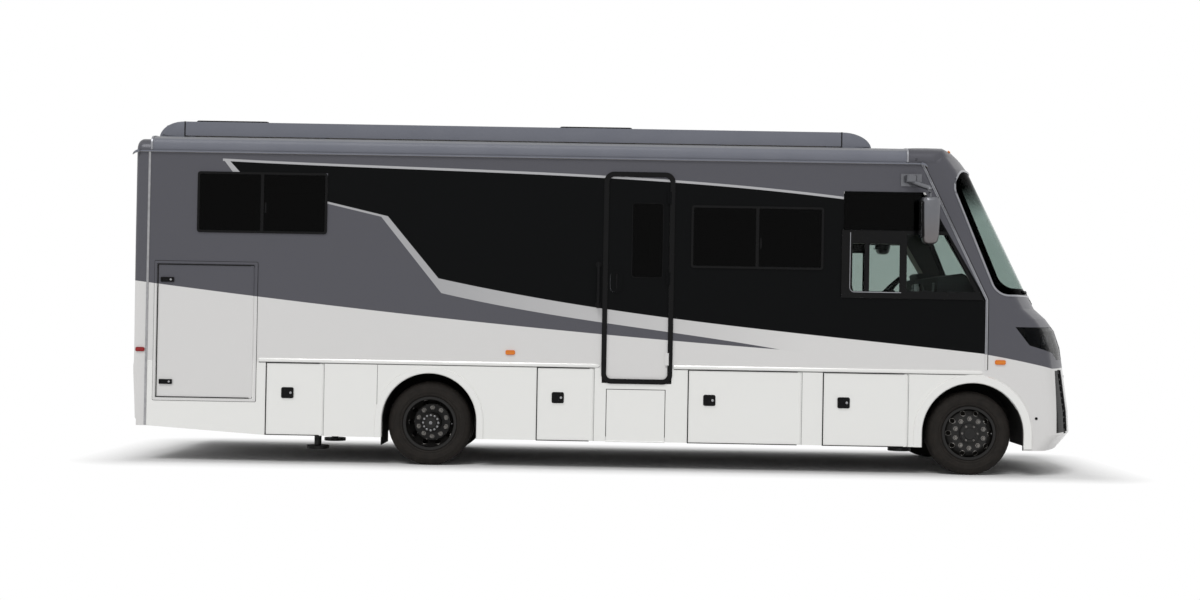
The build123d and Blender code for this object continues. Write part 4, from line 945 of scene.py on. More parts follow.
class COACH_OT_body_trim(CoachOperator):
    """Belt mouldings, seam and corner strips, locker surrounds, drip spouts, lid seals and panel joints"""
    bl_idname = "coach.body_trim"
    bl_label = "Body trim"

    def belt(self, scene, side, word):
        """A half-round moulding over the lids, broken by the entry door, and the dark joint under it."""
        low, high = scene.coach_trim.belt_low, scene.coach_trim.belt_high
        half, middle = (high - low) / 2, (high + low) / 2
        section = [(half * math.cos(a), 0.013 * math.sin(a)) for a in np.linspace(0, math.pi, 11)]
        rear, front = -3.46, SEAM[1][0] - 0.03
        runs = [(rear, -0.12), (0.60, front)] if side == RIGHT else [(rear, front)]
        shape = Shape()
        for start, end in runs:
            tips = [start, start + 0.008, end - 0.05, end - 0.015, end]
            sizes = [0.85, 1.0, 1.0, 0.8, 0.3]
            shape.loops([[(x, side * (SKIN + t * k), middle + s * k) for s, t in section]
                         for x, k in zip(tips, sizes)])
        shape.make(f"belt_moulding_{word}", "white_paint", slot="white_paint")
        joint = Shape()
        near, far = y_span(side, SKIN, SKIN + 0.0025)
        for start, end in runs:
            joint.box((start, near, low - 0.006), (end - 0.05, far, low - 0.001))
        joint.make(f"belt_joint_{word}", "gasket")

    def seam(self, side, word):
        """A ribbed strip that follows the front seam, then drops to the wheel arch, with a dark strip of
        painted shadow along its forward edge.
        """
        shape = Shape()
        half = [(0.013, 0.0), (0.012, 0.006), (0.008, 0.009), (0.003, 0.006)]
        section = [(-across, out) for across, out in half] + [(0.0, 0.003)] + half[::-1]
        (x0, z0), (x1, z1), (x2, z2) = SEAM
        slope = Vector((x1 - x0, 0, z1 - z0)).normalized()
        drop = Vector((0, 0, -1))
        bend = (slope + drop).normalized()
        stations = []
        for x, z, run in ((x0, z0, slope), (x1, z1, bend), (x2, z2, drop)):
            across = Vector((-run.z, 0, run.x))
            stations.append(((x, side * SKIN, z), across, (0, side, 0)))
        shape.strip(stations, section)
        shape.make(f"seam_strip_{word}", "trim_grey", slot="body_paint")
        # a dark strip along the forward edge of the ribbed strip: painted shadow
        shadow = Shape()
        shadow.strip(stations, [(0.013, 0.0), (0.013, 0.004), (0.020, 0.003), (0.020, 0.0)])
        shadow.make(f"seam_painted_shadow_{word}", "gasket")

    def corner(self, side, word):
        """A flat-topped metal strip down the rear corner."""
        shape = Shape()
        half = [(0.012, 0.0), (0.011, 0.005), (0.006, 0.008)]
        section = [(-across, out) for across, out in half] + half[::-1]
        heights = np.linspace(0.352, 3.034, 9)
        shape.strip([((-4.566, side * SKIN, z), (1, 0, 0), (0, side, 0)) for z in heights], section)
        shape.make(f"corner_strip_{word}", "dull_steel", slot="steel")

    def locker(self, side, word):
        """A raised surround round the tall locker's door, with sealant along its outer edge."""
        low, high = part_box(f"tall_locker_door_{word}")

        def outline(margin, radius):
            return rounded(low.x - margin, high.x + margin, low.z - margin, high.z + margin, radius)

        shape = Shape()
        shape.frame(outline(0.034, 0.012), outline(0.012, 0.008), side * SKIN, side * (SKIN + 0.007), 0.002)
        shape.make(f"locker_surround_{word}", "flank_paint", slot="body_paint")
        joint = Shape()
        joint.frame(outline(0.038, 0.014), outline(0.034, 0.012), side * SKIN, side * (SKIN + 0.002))
        joint.make(f"locker_sealant_{word}", "gasket")

    def spouts(self, side, word):
        """A drooping spout at each end of the gutter: (along, half width, drop) sections."""
        shape = Shape()
        for x, lean in ((-4.664, -1), (2.976, 1)):
            rings = []
            for along, half, drop in ((0, 0.012, 0), (0.022, 0.012, -0.003), (0.042, 0.010, -0.011),
                                      (0.058, 0.007, -0.023), (0.066, 0.003, -0.035)):
                rings.append([(x + lean * along, side * (1.274 + 0.012 * (1 + c)), 3.034 + drop + half * s)
                              for c, s in ((-1, -1), (1, -1), (1, 1), (-1, 1))])
            shape.loops(rings)
        shape.make(f"drip_spouts_{word}", "roof_skin", slot="body_paint")

    def lid_seals(self):
        """A black rubber seal behind the edges of each lid and of the step, free of the hinged edge."""
        behind, proud = 1.2495, 1.2768
        gap, lap, rim = 0.0045, 0.012, 0.0035
        lids = [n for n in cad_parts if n.startswith(("bay_door_", "tall_locker_door_", "entry_step"))]
        for lid in lids:
            low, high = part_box(lid)
            x0, x1, z0, z1 = low.x, high.x, low.z, high.z
            side = LEFT if high.y > 0 else RIGHT
            seal = Shape()
            near, far = y_span(side, behind, behind - 0.003)
            if lid == "entry_step":
                spans = [(x0 - gap, x1 + gap, z1 - lap, z1 + gap), (x0 - gap, x0 + lap, z0 + 0.05, z1 - lap),
                         (x1 - lap, x1 + gap, z0 + 0.05, z1 - lap)]
                rims = []
            else:
                end = x1 - 0.035
                spans = [(x0 - gap, end, z1 - lap, z1 + gap), (x0 - gap, end, z0 - gap, z0 + lap),
                         (x0 - gap, x0 + lap, z0 + lap, z1 - lap)]
                rims = [(x0 - gap, x0 + rim, z0 - gap, z1 + gap), (x0 + rim, end, z0 - gap, z0 + rim),
                        (x0 + rim, end, z1 - rim, z1 + gap)]
            for left, right, foot, top in spans:
                seal.box((left, near, foot), (right, far, top))
            near, far = y_span(side, behind, proud)
            for left, right, foot, top in rims:
                seal.box((left, near, foot), (right, far, top))
            seal.make(f"{lid}_seal", "gasket")

    def panel_joints(self):
        """Sealant in the joints of the skirt: in front of each lid, and behind the right rear wheel arch."""
        for side, word in SIDES:
            joints = Shape()
            near, far = y_span(side, SKIN, SKIN + 0.0008)
            spans = []
            for lid in [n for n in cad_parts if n.startswith("bay_door_") and n.endswith(word)]:
                low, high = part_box(lid)
                spans.append((high.x + 0.010, low.z, high.z))
            if side == RIGHT:
                low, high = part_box(f"bay_door_1_{word}")
                spans.append((ARCH_JOINT_X, low.z + 0.01, high.z))
            for x, z0, z1 in spans:
                joints.box((x - 0.0018, near, z0), (x + 0.0018, far, z1))
            joints.make(f"panel_joints_{word}", "gasket")

    def build(self, scene):
        self.lid_seals()
        self.panel_joints()
        for side, word in SIDES:
            self.belt(scene, side, word)
            self.seam(side, word)
            self.corner(side, word)
            self.locker(side, word)
            self.spouts(side, word)


class COACH_OT_latches(CoachOperator):
    """Paddle latches with a key barrel on every lid"""
    bl_idname = "coach.latches"
    bl_label = "Lid latches"

    def latch(self, name, body, side, x, z, width, height):
        """A dished plate with a paddle towards the rear and a key barrel beside it."""
        face = side * LID_FACE
        plate, paddle, barrel = Shape(), Shape(), Shape()
        x0, x1, z0, z1 = x - width / 2, x + width / 2, z - height / 2, z + height / 2
        radius = min(width, height) * 0.16
        opening = rounded(x0 + 0.016, x1 - 0.016, z0 + 0.012, z1 - 0.012, radius * 0.6)
        plate.frame(rounded(x0, x1, z0, z1, radius), opening, face, face + side * 0.009, 0.0025)
        back = rounded(x0 + 0.015, x1 - 0.015, z0 + 0.011, z1 - 0.011, radius * 0.6)
        plate.prism(back, face, face + side * 0.002)
        plate.make(f"{name}_plate", "gloss_black", body)
        paddle.prism(rounded(x0 + 0.026, x1 - width * 0.38, z0 + 0.017, z1 - 0.017, radius * 0.5),
                     face + side * 0.002, face + side * 0.008, 0.0025)
        paddle.make(f"{name}_paddle", "black_plastic", body)
        bore = min(0.012, height * 0.22)
        profile = ((1.0, 0.002), (1.0, 0.0075), (0.82, 0.009), (0.2, 0.009), (0.2, 0.006))
        rings = [(bore * share, LID_FACE + out) for share, out in profile]
        barrel.puck(rings, side, (x1 - width * 0.24, z), 24)
        barrel.make(f"{name}_barrel", "dull_steel", body, "steel")

    def build(self, scene):
        width, height = scene.coach_trim.latch_width, scene.coach_trim.latch_height
        for side, word in SIDES:
            for lid, x in LATCH_X.items():
                name = f"{lid}_{word}"
                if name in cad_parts:
                    self.latch(f"{name}_latch", name, side, x, LATCH_Z, width, height)
            locker = f"tall_locker_door_{word}"
            for level, z in LOCKER_LATCHES_Z.items():
                self.latch(f"{locker}_latch_{level}", locker, side, LOCKER_LATCH_X, z, 0.130, 0.048)


class COACH_OT_entry(CoachOperator):
    """Door frame bead, handle, key barrels, grab-handle feet and step treads"""
    bl_idname = "coach.entry"
    bl_label = "Entry door fittings"

    def handle(self):
        """An oval dish with a rim, an upright lever across it and two key barrels."""
        dish = Shape()
        dish.frame(rounded(-0.035, 0.088, 1.725, 1.936, 0.055), rounded(-0.029, 0.082, 1.731, 1.930, 0.050),
                   -1.277, -1.284, 0.002)
        dish.make("door_handle_rim", "trim_grey", "entry_door")
        well = Shape()
        well.prism(rounded(-0.030, 0.083, 1.730, 1.931, 0.051), -1.2765, -1.2785)
        well.make("door_handle_well", "gasket", "entry_door")
        lever = Shape()
        lever_x = 0.027
        bend = [(-1.278, 1.925), (-1.290, 1.905), (-1.293, 1.850), (-1.290, 1.785), (-1.280, 1.765)]
        lever.tube([(lever_x, y, z) for y, z in bend], 0.010, 14)
        lever.make("door_handle_lever", "black_plastic", "entry_door")
        keys = Shape()
        for at in ((-0.006, 1.752), (lever_x, 1.740)):
            keys.puck([(0.008, 1.278), (0.008, 1.283), (0.006, 1.2845), (0.001, 1.2845)], RIGHT, at, 20)
        keys.make("door_key_barrels", "dull_steel", "entry_door", "steel")

    def build(self, scene):
        bead = Shape()
        bead.frame(rounded(-0.100, 0.578, 0.843, 2.898, 0.088), rounded(-0.060, 0.538, 0.883, 2.858, 0.055),
                   -1.285, -1.291, 0.002)
        bead.make("door_frame_bead", "gloss_black")
        self.handle()
        feet = Shape()
        foot = [(0.030, 1.270), (0.030, 1.276), (0.022, 1.281), (0.014, 1.282)]
        for z in (1.600, 1.994):
            feet.puck(foot, RIGHT, (-0.150, z), 28)
        feet.make("grab_handle_feet", "black_plastic")
        low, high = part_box("entry_step")
        margin, pitch, width = 0.06, 0.085, 0.014
        tread = Shape()
        for row in range(5):
            z = low.z + 0.12 + row * pitch
            tread.prism(rounded(low.x + margin, high.x - margin, z, z + width, 0.006), -1.250, -1.2465, 0.001)
        tread.make("step_tread_ribs", "gasket", "entry_step")


class COACH_OT_lamps(CoachOperator):
    """Side markers, headlamp insides, parking sensors and tail lamp bars"""
    bl_idname = "coach.lamps"
    bl_label = "Lamps"

    def marker(self, name, finish, side, x, z, length, height):
        """A side marker in two steps, the lens set in from its base all round."""
        face = side * SKIN
        for part, inset, roundness, near, far, bevel in (("base", 0.0, 0.35, 0.0, 0.008, 0.002),
                                                         ("lens", 0.006, 0.28, 0.008, 0.018, 0.003)):
            half_x, half_z = length / 2 - inset, height / 2 - inset
            outline = rounded(x - half_x, x + half_x, z - half_z, z + half_z, height * roundness)
            shape = Shape()
            shape.prism(outline, face + side * near, face + side * far, bevel)
            shape.make(f"{name}_{part}", finish, slot="lens")

    def headlamp(self, side, word):
        """Two projectors and a bright lower brow, behind the clear cover."""
        bowls, eyes, brow = Shape(), Shape(), Shape()
        # profiles as (share of the radius, depth)
        bowl = [(1.0, 0.02), (1.0, -0.004), (0.9, -0.008), (0.66, 0.012), (0.6, 0.02)]
        eye = [(0.62, 0.014), (0.56, 0.0), (0.38, -0.010), (0.12, -0.014)]
        for y, z, radius in ((0.86, 1.335, 0.062), (1.02, 1.325, 0.055)):
            x = nose_x(y, 4.50) - 0.015
            turn = Matrix.Translation((x, side * y, z)) @ Matrix.Rotation(math.pi / 2, 4, "Z")
            for shape, profile in ((bowls, bowl), (eyes, eye)):
                part = Shape()
                part.lathe([(radius * share, depth) for share, depth in profile], (0, 0), 36)
                shape.take(part, turn)
        bowls.make(f"headlamp_bowls_{word}", "chrome", slot="steel")
        eyes.make(f"headlamp_projectors_{word}", "lamp_white", slot="lens")
        section = [(-0.02, 1.180), (0.0, 1.176), (0.0, 1.196), (-0.02, 1.200)]
        stations = [(nose_x(y, 4.555), side * y) for y in np.linspace(0.70, 1.12, 12)]
        brow.loops([[(x + back, y, z) for back, z in section] for x, y in stations])
        brow.make(f"headlamp_brow_{word}", "lamp_white", slot="lens")

    def build(self, scene):
        for side, word in SIDES:
            self.marker(f"marker_middle_{word}", "amber_lens", side, -0.999, 1.122, 0.094, 0.046)
            self.marker(f"marker_front_{word}", "amber_lens", side, 3.779, 1.111, 0.104, 0.046)
            self.marker(f"marker_rear_{word}", "red_lens", side, -4.627, 1.090, 0.090, 0.042)
            self.headlamp(side, word)
            sensor = Shape()
            profile = [(0.014, 1.270), (0.014, 1.2735), (0.009, 1.275), (0.002, 1.275)]
            sensor.puck(profile, side, (4.137, 0.570), 24)
            sensor.make(f"parking_sensor_{word}", "gloss_black")
        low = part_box("taillights")[0]
        for side, word in SIDES:
            bars = Shape()
            near, far = y_span(side, 1.112, 1.183)
            for row in range(9):
                z = low.z + 0.03 + row * 0.054
                bars.prism(rounded(near, far, z, z + 0.034, 0.006), low.x, low.x - 0.004, 0.0015, axis="X")
            bars.make(f"tail_lamp_bars_{word}", "red_lens", slot="lens")


class COACH_OT_front(CoachOperator):
    """Windscreen lip, dark sheets of painted shade behind the grille, wiper pivots, brow and clearance lamps
    """
    bl_idname = "coach.front"
    bl_label = "Front end"

    def screen_lip(self, side, word):
        """The raised lip of the moulding round the windscreen: foot, round corner, rear edge, head. It is
        painted lighter than the cap, as a highlight.
        """
        clear = 0.013
        foot, head, radius = SCREEN_FOOT - clear, SCREEN_TOP + clear, SCREEN_CORNER + clear
        slope = (SCREEN_REAR[1] - SCREEN_REAR[0]) / (SCREEN_TOP - SCREEN_FOOT)
        rise = Vector((slope, 1.0)).normalized()
        corners = [(SCREEN_REAR[0] + slope * (z - SCREEN_FOOT) - clear, z) for z in (foot, head)]
        low_turn = fillet(corners[0], (1, 0), rise, radius)
        high_turn = fillet(corners[1], -rise, (1, 0), radius)
        (x0, z0), (x1, z1) = low_turn[-1], high_turn[0]
        between = [(x0 + (x1 - x0) * s, z0 + (z1 - z0) * s) for s in np.linspace(0.1, 0.9, 9)]
        edge = [(x, nose_y(x, nose_reach(z)), z) for x, z in low_turn + between + high_turn]
        runs = []
        for z, end_x in ((foot, low_turn[0][0]), (head, high_turn[-1][0])):
            last = nose_y(end_x, nose_reach(z))
            run = [(nose_x(y, nose_reach(z)), y, z) for y in np.linspace(0.0, last - 0.01, 24)]
            runs.append([point for point in run if point[0] > end_x + 0.004])
        lip = Shape()
        lip.tube([(x, side * y, z) for x, y, z in runs[0] + edge + runs[1][::-1]], 0.011, 12)
        # the lip takes the lighter trim grey rather than the cap's paint: a painted highlight along the
        # windscreen
        lip.make(f"windscreen_lip_{word}", "trim_grey", slot="body_paint")

    def brow_share(self, y):
        """How much of its length on the centre plane the brow has at a width."""
        return (nose_x(y, BROW_REACH) - BROW_REAR) / (BROW_REACH - BROW_REAR)

    def brow(self):
        """The crowned top of the front moulding, which overhangs the head of the windscreen."""
        step_down = 0.001  # keeps the points of a section apart where the crown cuts them off
        rings = []
        for y, crown in [(-y, crown) for y, crown in BROW_CROWN[:0:-1]] + BROW_CROWN:
            shrink = self.brow_share(y)
            rings.append([(BROW_REAR + (x - BROW_REAR) * shrink, y, min(z, crown) - step_down * n)
                          for n, (x, z) in enumerate(BROW_SECTION)])
        shape = Shape()
        shape.loops(rings)
        shape.make("front_brow", "cap_paint", slot="body_paint")

    def clearance_lamps(self):
        """Five small amber lamps across the brow."""
        lamps = Shape()
        for y in (-0.92, -0.28, 0.0, 0.28, 0.92):
            lamp = Shape()
            lamp.prism(rounded(-0.045, 0.045, -0.014, 0.014, 0.010), -0.016, 0.012, 0.005, axis="X")
            at = Matrix.Translation((BROW_REAR + 0.602 * self.brow_share(y), y, 3.180))
            lamps.take(lamp, at @ Matrix.Rotation(-0.75, 4, "Y"))
        lamps.make("clearance_lamps", "amber_lens", slot="lens")

    def grille_painted_shade(self):
        """Dark sheets of painted shade behind the two intakes, and behind the corner vents of the bumper."""
        sheet = 0.006
        shade_sheets = Shape()
        for low, high, half in ((0.43, 0.64, 0.61), (0.83, 1.01, 0.59)):
            rings = []
            for y in np.linspace(-half, half, 25):
                x = nose_x(y, 4.63)
                rings.append([(x - sheet, y, low), (x, y, low), (x, y, high), (x - sheet, y, high)])
            shade_sheets.loops(rings)
        for side in (RIGHT, LEFT):
            rings = []
            for y in np.linspace(0.878, 1.037, 9):
                face = [(nose_x(y, nose_reach(z) - 0.055), side * y, z) for z in np.linspace(0.405, 1.050, 6)]
                rings.append(face + [(x - sheet, across, z) for x, across, z in face[::-1]])
            shade_sheets.loops(rings)
        shade_sheets.make("grille_painted_shade", "gasket")

    def grille_mesh(self):
        """A honeycomb of open hexagons in front of the dark sheet of painted shade in each intake."""
        pitch, row_pitch = 0.030, 0.030 * 0.87
        honeycomb = Shape()
        for low, high, half in ((0.445, 0.625, 0.60), (0.845, 0.995, 0.58)):
            for row in range(int((high - low) / row_pitch)):
                for column in range(int(2 * half / pitch)):
                    y = -half + pitch * (column + 0.5 * (row % 2) + 0.5)
                    z = low + row_pitch * (row + 0.5)
                    x = nose_x(y, 4.642)
                    honeycomb.loops([[(x, p, q) for p, q in circle(6, radius, (y, z), math.pi / 6)]
                                     for radius in (0.0150, 0.0118)], capped=False)
        honeycomb.make("grille_mesh", "black_plastic")

    def wiper_pivots(self):
        """A domed cap on the pivot of each wiper."""
        pivots = Shape()
        for y in (-0.24, 0.70):
            at = Vector((nose_x(y, 4.292), y, 1.712))
            part = Shape()
            part.lathe([(0.020, 0.012), (0.020, -0.010), (0.014, -0.016), (0.004, -0.017)], (0, 0), 24)
            pivots.take(part, Matrix.Translation(at) @ Matrix.Rotation(math.pi / 2, 4, "Z"))
        pivots.make("wiper_pivots", "gloss_black")

    def build(self, scene):
        self.grille_painted_shade()
        self.grille_mesh()
        for side, word in SIDES:
            self.screen_lip(side, word)
        self.brow()
        self.clearance_lamps()
        self.wiper_pivots()


class COACH_OT_mirrors(CoachOperator):
    """Mirror heads on cranked arms, with their brackets, bezels and glasses"""
    bl_idname = "coach.mirrors"
    bl_label = "Mirrors"

    def head(self, shape, side):
        """An upright pod, domed at both ends: (height, half length, half width) sections."""
        rings = []
        for z, half_x, half_y in ((2.243, 0.030, 0.036), (2.250, 0.052, 0.056), (2.268, 0.070, 0.072),
                                  (2.320, 0.082, 0.084), (2.450, 0.088, 0.089), (2.600, 0.091, 0.090),
                                  (2.655, 0.090, 0.088), (2.680, 0.084, 0.081), (2.692, 0.072, 0.068),
                                  (2.697, 0.050, 0.048)):
            corner = min(half_x, half_y) * 0.75
            loop = rounded(MIRROR_X - half_x, MIRROR_X + half_x, -half_y, half_y, corner, 7)
            rings.append([(x, side * (MIRROR_Y + y), z) for x, y in loop])
        shape.loops(rings)

    def bracket(self, shells, side):
        """A cranked arm from a round foot on the coach's side, and the stem that the head hangs from."""
        arm = [(2.868, 1.318, 2.860), (2.895, 1.345, 2.846), (2.990, 1.440, 2.800), (3.022, 1.468, 2.786),
               (3.034, 1.482, 2.768), (3.036, 1.485, 2.735)]
        shells.tube([(x, side * y, z) for x, y, z in arm], 0.025, 16)
        shells.tube([(3.036, side * MIRROR_Y, 2.740), (3.036, side * MIRROR_Y, 2.690)], 0.011, 14)
        near, far = y_span(side, SKIN, SKIN + 0.013)
        shells.box((2.782, near, 2.812), (2.985, far, 2.932), 0.004)
        drum = ((2.846, 0.048), (2.850, 0.057), (2.912, 0.057), (2.917, 0.051), (2.919, 0.020))
        middle = (2.872, side * (SKIN + 0.060))
        shells.loops([[(x, y, z) for x, y in circle(40, radius, middle)] for z, radius in drum])
        near, far = y_span(side, SKIN + 0.010, SKIN + 0.045)
        shells.box((2.928, near, 2.852), (2.962, far, 2.915), 0.005)

    def glass(self, side, word):
        """A bezel on the rear of the head, with a tall glass above a low one."""
        near, far = y_span(side, MIRROR_Y - 0.074, MIRROR_Y + 0.074)
        back, border = MIRROR_X - 0.088, 0.008
        bezel, glass = Shape(), Shape()
        bezel.prism(rounded(near, far, 2.300, 2.660, 0.03), back + 0.010, back - 0.006, 0.003, axis="X")
        bezel.make(f"mirror_bezel_{word}", "black_plastic")
        for z0, z1 in ((2.430, 2.652), (2.308, 2.420)):
            pane = rounded(near + border, far - border, z0, z1, 0.022)
            glass.prism(pane, back - 0.006, back - 0.0075, axis="X")
        glass.make(f"mirror_glass_{word}", "chrome", slot="glass")

    def build(self, scene):
        shells = Shape()
        for side, word in SIDES:
            self.head(shells, side)
            self.bracket(shells, side)
            self.glass(side, word)
        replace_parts(shells.make("mirror_shells", "mirror_shell"), "mirrors")


class COACH_OT_roof(CoachOperator):
    """Fairing joints and tips, roof edge mouldings with straps, vents and air-conditioner louvres"""
    bl_idname = "coach.roof"
    bl_label = "Roof fittings"

    def fairing(self, side, word):
        """A joint strip near each end of the fairing, and the rounded tip beyond it."""
        near, far = y_span(side, FAIRING_INNER, FAIRING_OUTER)
        joints = Shape()
        for x in FAIRING_JOINTS_X:
            joints.box((x - 0.006, near, 3.206), (x + 0.006, far, 3.3470), 0.002)
        joints.make(f"fairing_joints_{word}", "gasket")
        tips = Shape()
        for joint, tip in FAIRING_TIPS_X:
            rings = []
            for share in np.sin(np.linspace(0, math.pi / 2, 12)):
                x = joint + (tip - joint) * share
                top = 3.180 + 0.166 * math.sqrt(max(0.0, 1 - (share * 0.985) ** 2))
                inset = 0.020 * share ** 2
                rings.append([(x, y, z) for y, z in rounded(near + inset, far - inset, 3.150, top, 0.010, 3)])
            tips.loops(rings)
        tips.make(f"fairing_tips_{word}", "roof_skin", slot="body_paint")

    def edge(self, side, word):
        """The moulding along the roof's edge, with a strap over each of its ends."""
        edge = Shape()
        edge.loops([[(x, side * y, z) for y, z in ROOF_EDGE] for x in np.linspace(*ROOF_EDGE_ENDS, 12)])
        edge.make(f"roof_edge_moulding_{word}", "roof_skin", slot="body_paint")
        straps = Shape()
        for x in ROOF_STRAPS_X:
            rings = []
            for along, proud in ((-0.012, 0.0), (-0.009, 0.006), (0.009, 0.006), (0.012, 0.0)):
                rings.append([(x + along, side * (y + proud), z + proud) for y, z in ROOF_EDGE])
            straps.loops(rings)
        straps.make(f"roof_joint_straps_{word}", "trim_grey", slot="body_paint")

    def build(self, scene):
        for side, word in SIDES:
            self.fairing(side, word)
            self.edge(side, word)
        for name, x in (("rear", -3.985), ("front", -0.214)):
            louvres = Shape()
            for row in range(9):
                z = 3.245 + row * 0.018
                for y0, y1 in ((-0.352, -0.330), (0.330, 0.352)):
                    louvres.box((x - 0.30, y0, z), (x + 0.30, y1, z + 0.008), 0.002)
            louvres.make(f"air_conditioner_louvres_{name}", "gasket")
        for name, x, y in (("bath", -2.60, 0.35), ("galley", 0.95, -0.30)):
            vent = Shape()
            vent.box((x - 0.20, y - 0.20, 3.193), (x + 0.20, y + 0.20, 3.225), 0.006)
            vent.box((x - 0.18, y - 0.18, 3.225), (x + 0.18, y + 0.18, 3.262), 0.016)
            vent.make(f"roof_vent_{name}", "roof_skin", slot="body_paint")


class COACH_OT_rear(CoachOperator):
    """The camera housing at the top of the rear cap"""
    bl_idname = "coach.rear"
    bl_label = "Rear end"

    def build(self, scene):
        camera = Shape()
        camera.prism(rounded(-0.060, 0.060, 2.905, 2.965, 0.016), -4.700, -4.7045, 0.001, axis="X")
        camera.make("rear_camera_housing", "black_plastic")


# ---------------------------------------------------------------- wheels and tyres
class COACH_OT_wheels(CoachOperator):
    """Nuts, hub covers with their bolts, hand-hole rims and valves on every wheel"""
    bl_idname = "coach.wheels"
    bl_label = "Wheel fittings"

    def nut(self, shape, side, centre, radius, y, length):
        """A hexagon nut on a collar, with the end of its stud standing out of it."""
        rings = []
        for scale, out in ((1.3, 0.0), (1.3, 0.003), (1.0, 0.004), (1.0, length * 0.80), (0.84, length),
                           (0.5, length), (0.5, length + 0.006), (0.3, length + 0.009)):
            rings.append([(x, y + side * out, z) for x, z in circle(6, radius * scale, centre)])
        shape.loops(rings)

    def hole_rims(self, side, centre, dish):
        """A rolled rim round each hand hole, lying on the dish of the wheel."""
        rims = Shape()
        count, reach, hole = HAND_HOLES
        (r0, y0), (r1, y1) = dish
        for middle in circle(count, reach):
            path = []
            for turn in np.linspace(0, 2 * math.pi, 25):
                p, q = around(middle, hole, turn)
                y = y0 + (y1 - y0) * max(0.0, (math.hypot(p, q) - r0) / (r1 - r0))
                path.append((centre[0] + p, side * (y + 0.001), centre[1] + q))
            rims.tube(path, 0.0034, 8)
        return rims

    def wheel(self, sizes, axle, side, word):
        """The fittings of one front wheel or of one pair at the rear."""
        body = f"{WHEEL_BODIES[axle]}_{word}"
        face, hub = NUT_FACE[axle], HUB_FACE[axle]
        low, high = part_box(f"wheel_{axle}_{word}")
        centre = ((low.x + high.x) / 2, (low.z + high.z) / 2)
        nuts, cover, studs, valve = Shape(), Shape(), Shape(), Shape()
        for at in circle(sizes.nuts, sizes.nut_circle, centre, math.pi / sizes.nuts):
            self.nut(nuts, side, at, sizes.nut_width / math.sqrt(3), side * face, 0.026)
        nuts.make(f"wheel_nuts_{axle}_{word}", "dark_chrome", body, "steel")
        profile = ((0.093, -0.004), (0.093, 0.0), (0.086, 0.006), (0.060, 0.008), (0.055, 0.014),
                   (0.010, 0.016))
        cover.puck([(radius, hub + out) for radius, out in profile], side, centre, 48)
        cover.make(f"hub_cover_{axle}_{word}", "satin_black_wheel", body, "wheel")
        rims = self.hole_rims(side, centre, WHEEL_DISH[axle])
        rims.make(f"hand_hole_rims_{axle}_{word}", "dark_chrome", body, "steel")
        bolts, finish = (6, "dark_chrome") if axle == "front" else (12, "dull_steel")
        for at in circle(bolts, 0.075, centre):
            self.nut(studs, side, at, 0.008, side * (hub + 0.006), 0.008)
        if axle == "rear":
            self.nut(studs, side, centre, 0.013, side * (hub + 0.014), 0.016)
        studs.make(f"hub_bolts_{axle}_{word}", finish, body, "steel")
        stem = ((0.222, 1.165), (0.224, 1.188), (0.218, 1.196))
        valve.tube([(centre[0] + x, side * y, centre[1]) for x, y in stem], 0.005, 10)
        valve.make(f"valve_{axle}_{word}", "dull_steel", body, "steel")

    def build(self, scene):
        for side, word in SIDES:
            for axle in WHEEL_BODIES:
                self.wheel(scene.coach_wheels, axle, side, word)


class COACH_OT_tyres(CoachOperator):
    """Tyres with ribs, grooves, shoulder lugs and ringed sidewalls"""
    bl_idname = "coach.tyres"
    bl_label = "Tyres"

    def tyre(self, shape, sizes, centre, y, half, radius):
        """One tyre round its axle; the shoulders drop at every third step, which cuts the lugs."""
        depth = sizes.groove_depth
        # the sidewall as (radius, distance in from the tyre's widest point)
        side_wall = [(0.2505, 0.026), (0.266, 0.024), (0.272, 0.014), (0.286, 0.007), (0.292, 0.009),
                     (0.300, 0.003), (0.318, 0.0005), (0.340, 0.002), (0.346, 0.0005), (0.352, 0.003),
                     (0.372, 0.009)]
        shoulder = [(0.388, half - 0.016, True), (radius - 0.006, half - 0.030, True),
                    (radius - 0.002, half - 0.040, True)]
        crown = []
        for rib in (0.068, 0.026):
            crown += [(radius - 0.001, rib + 0.007), (radius - depth, rib + 0.004),
                      (radius - depth, rib - 0.004), (radius - 0.0005, rib - 0.007)]
        near = [(r, half - w, False) for r, w in side_wall] + shoulder + [(r, w, False) for r, w in crown]
        profile = near + [(r, -w, lug) for r, w, lug in reversed(near)] + [(0.2505, 0.0, False)]
        steps = sizes.lugs * 3
        rings = []
        for k in range(steps):
            drop = 0.006 if k % 3 == 0 else 0.0
            ring = []
            for r, w, lug in profile:
                x, z = around(centre, r - (drop if lug else 0.0), 2 * math.pi * k / steps)
                ring.append((x, y + w, z))
            rings.append(ring)
        shape.loops(rings, closed=True)

    def build(self, scene):
        for side, word in SIDES:
            for node, body, centres in ((f"tyre_front_{word}", f"wheel_front_{word}", (1.082,)),
                                        (f"tyres_rear_{word}", f"wheels_rear_{word}", (1.082, 0.796))):
                low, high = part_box(node)
                centre = ((low.x + high.x) / 2, (low.z + high.z) / 2)
                shape = Shape()
                for y in centres:
                    self.tyre(shape, scene.coach_wheels, centre, side * y, 0.1225, (high.z - low.z) / 2)
                piece = shape.make(f"ribbed_{node}", "tyre_rubber", body, "tyre")
                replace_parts(piece, node)


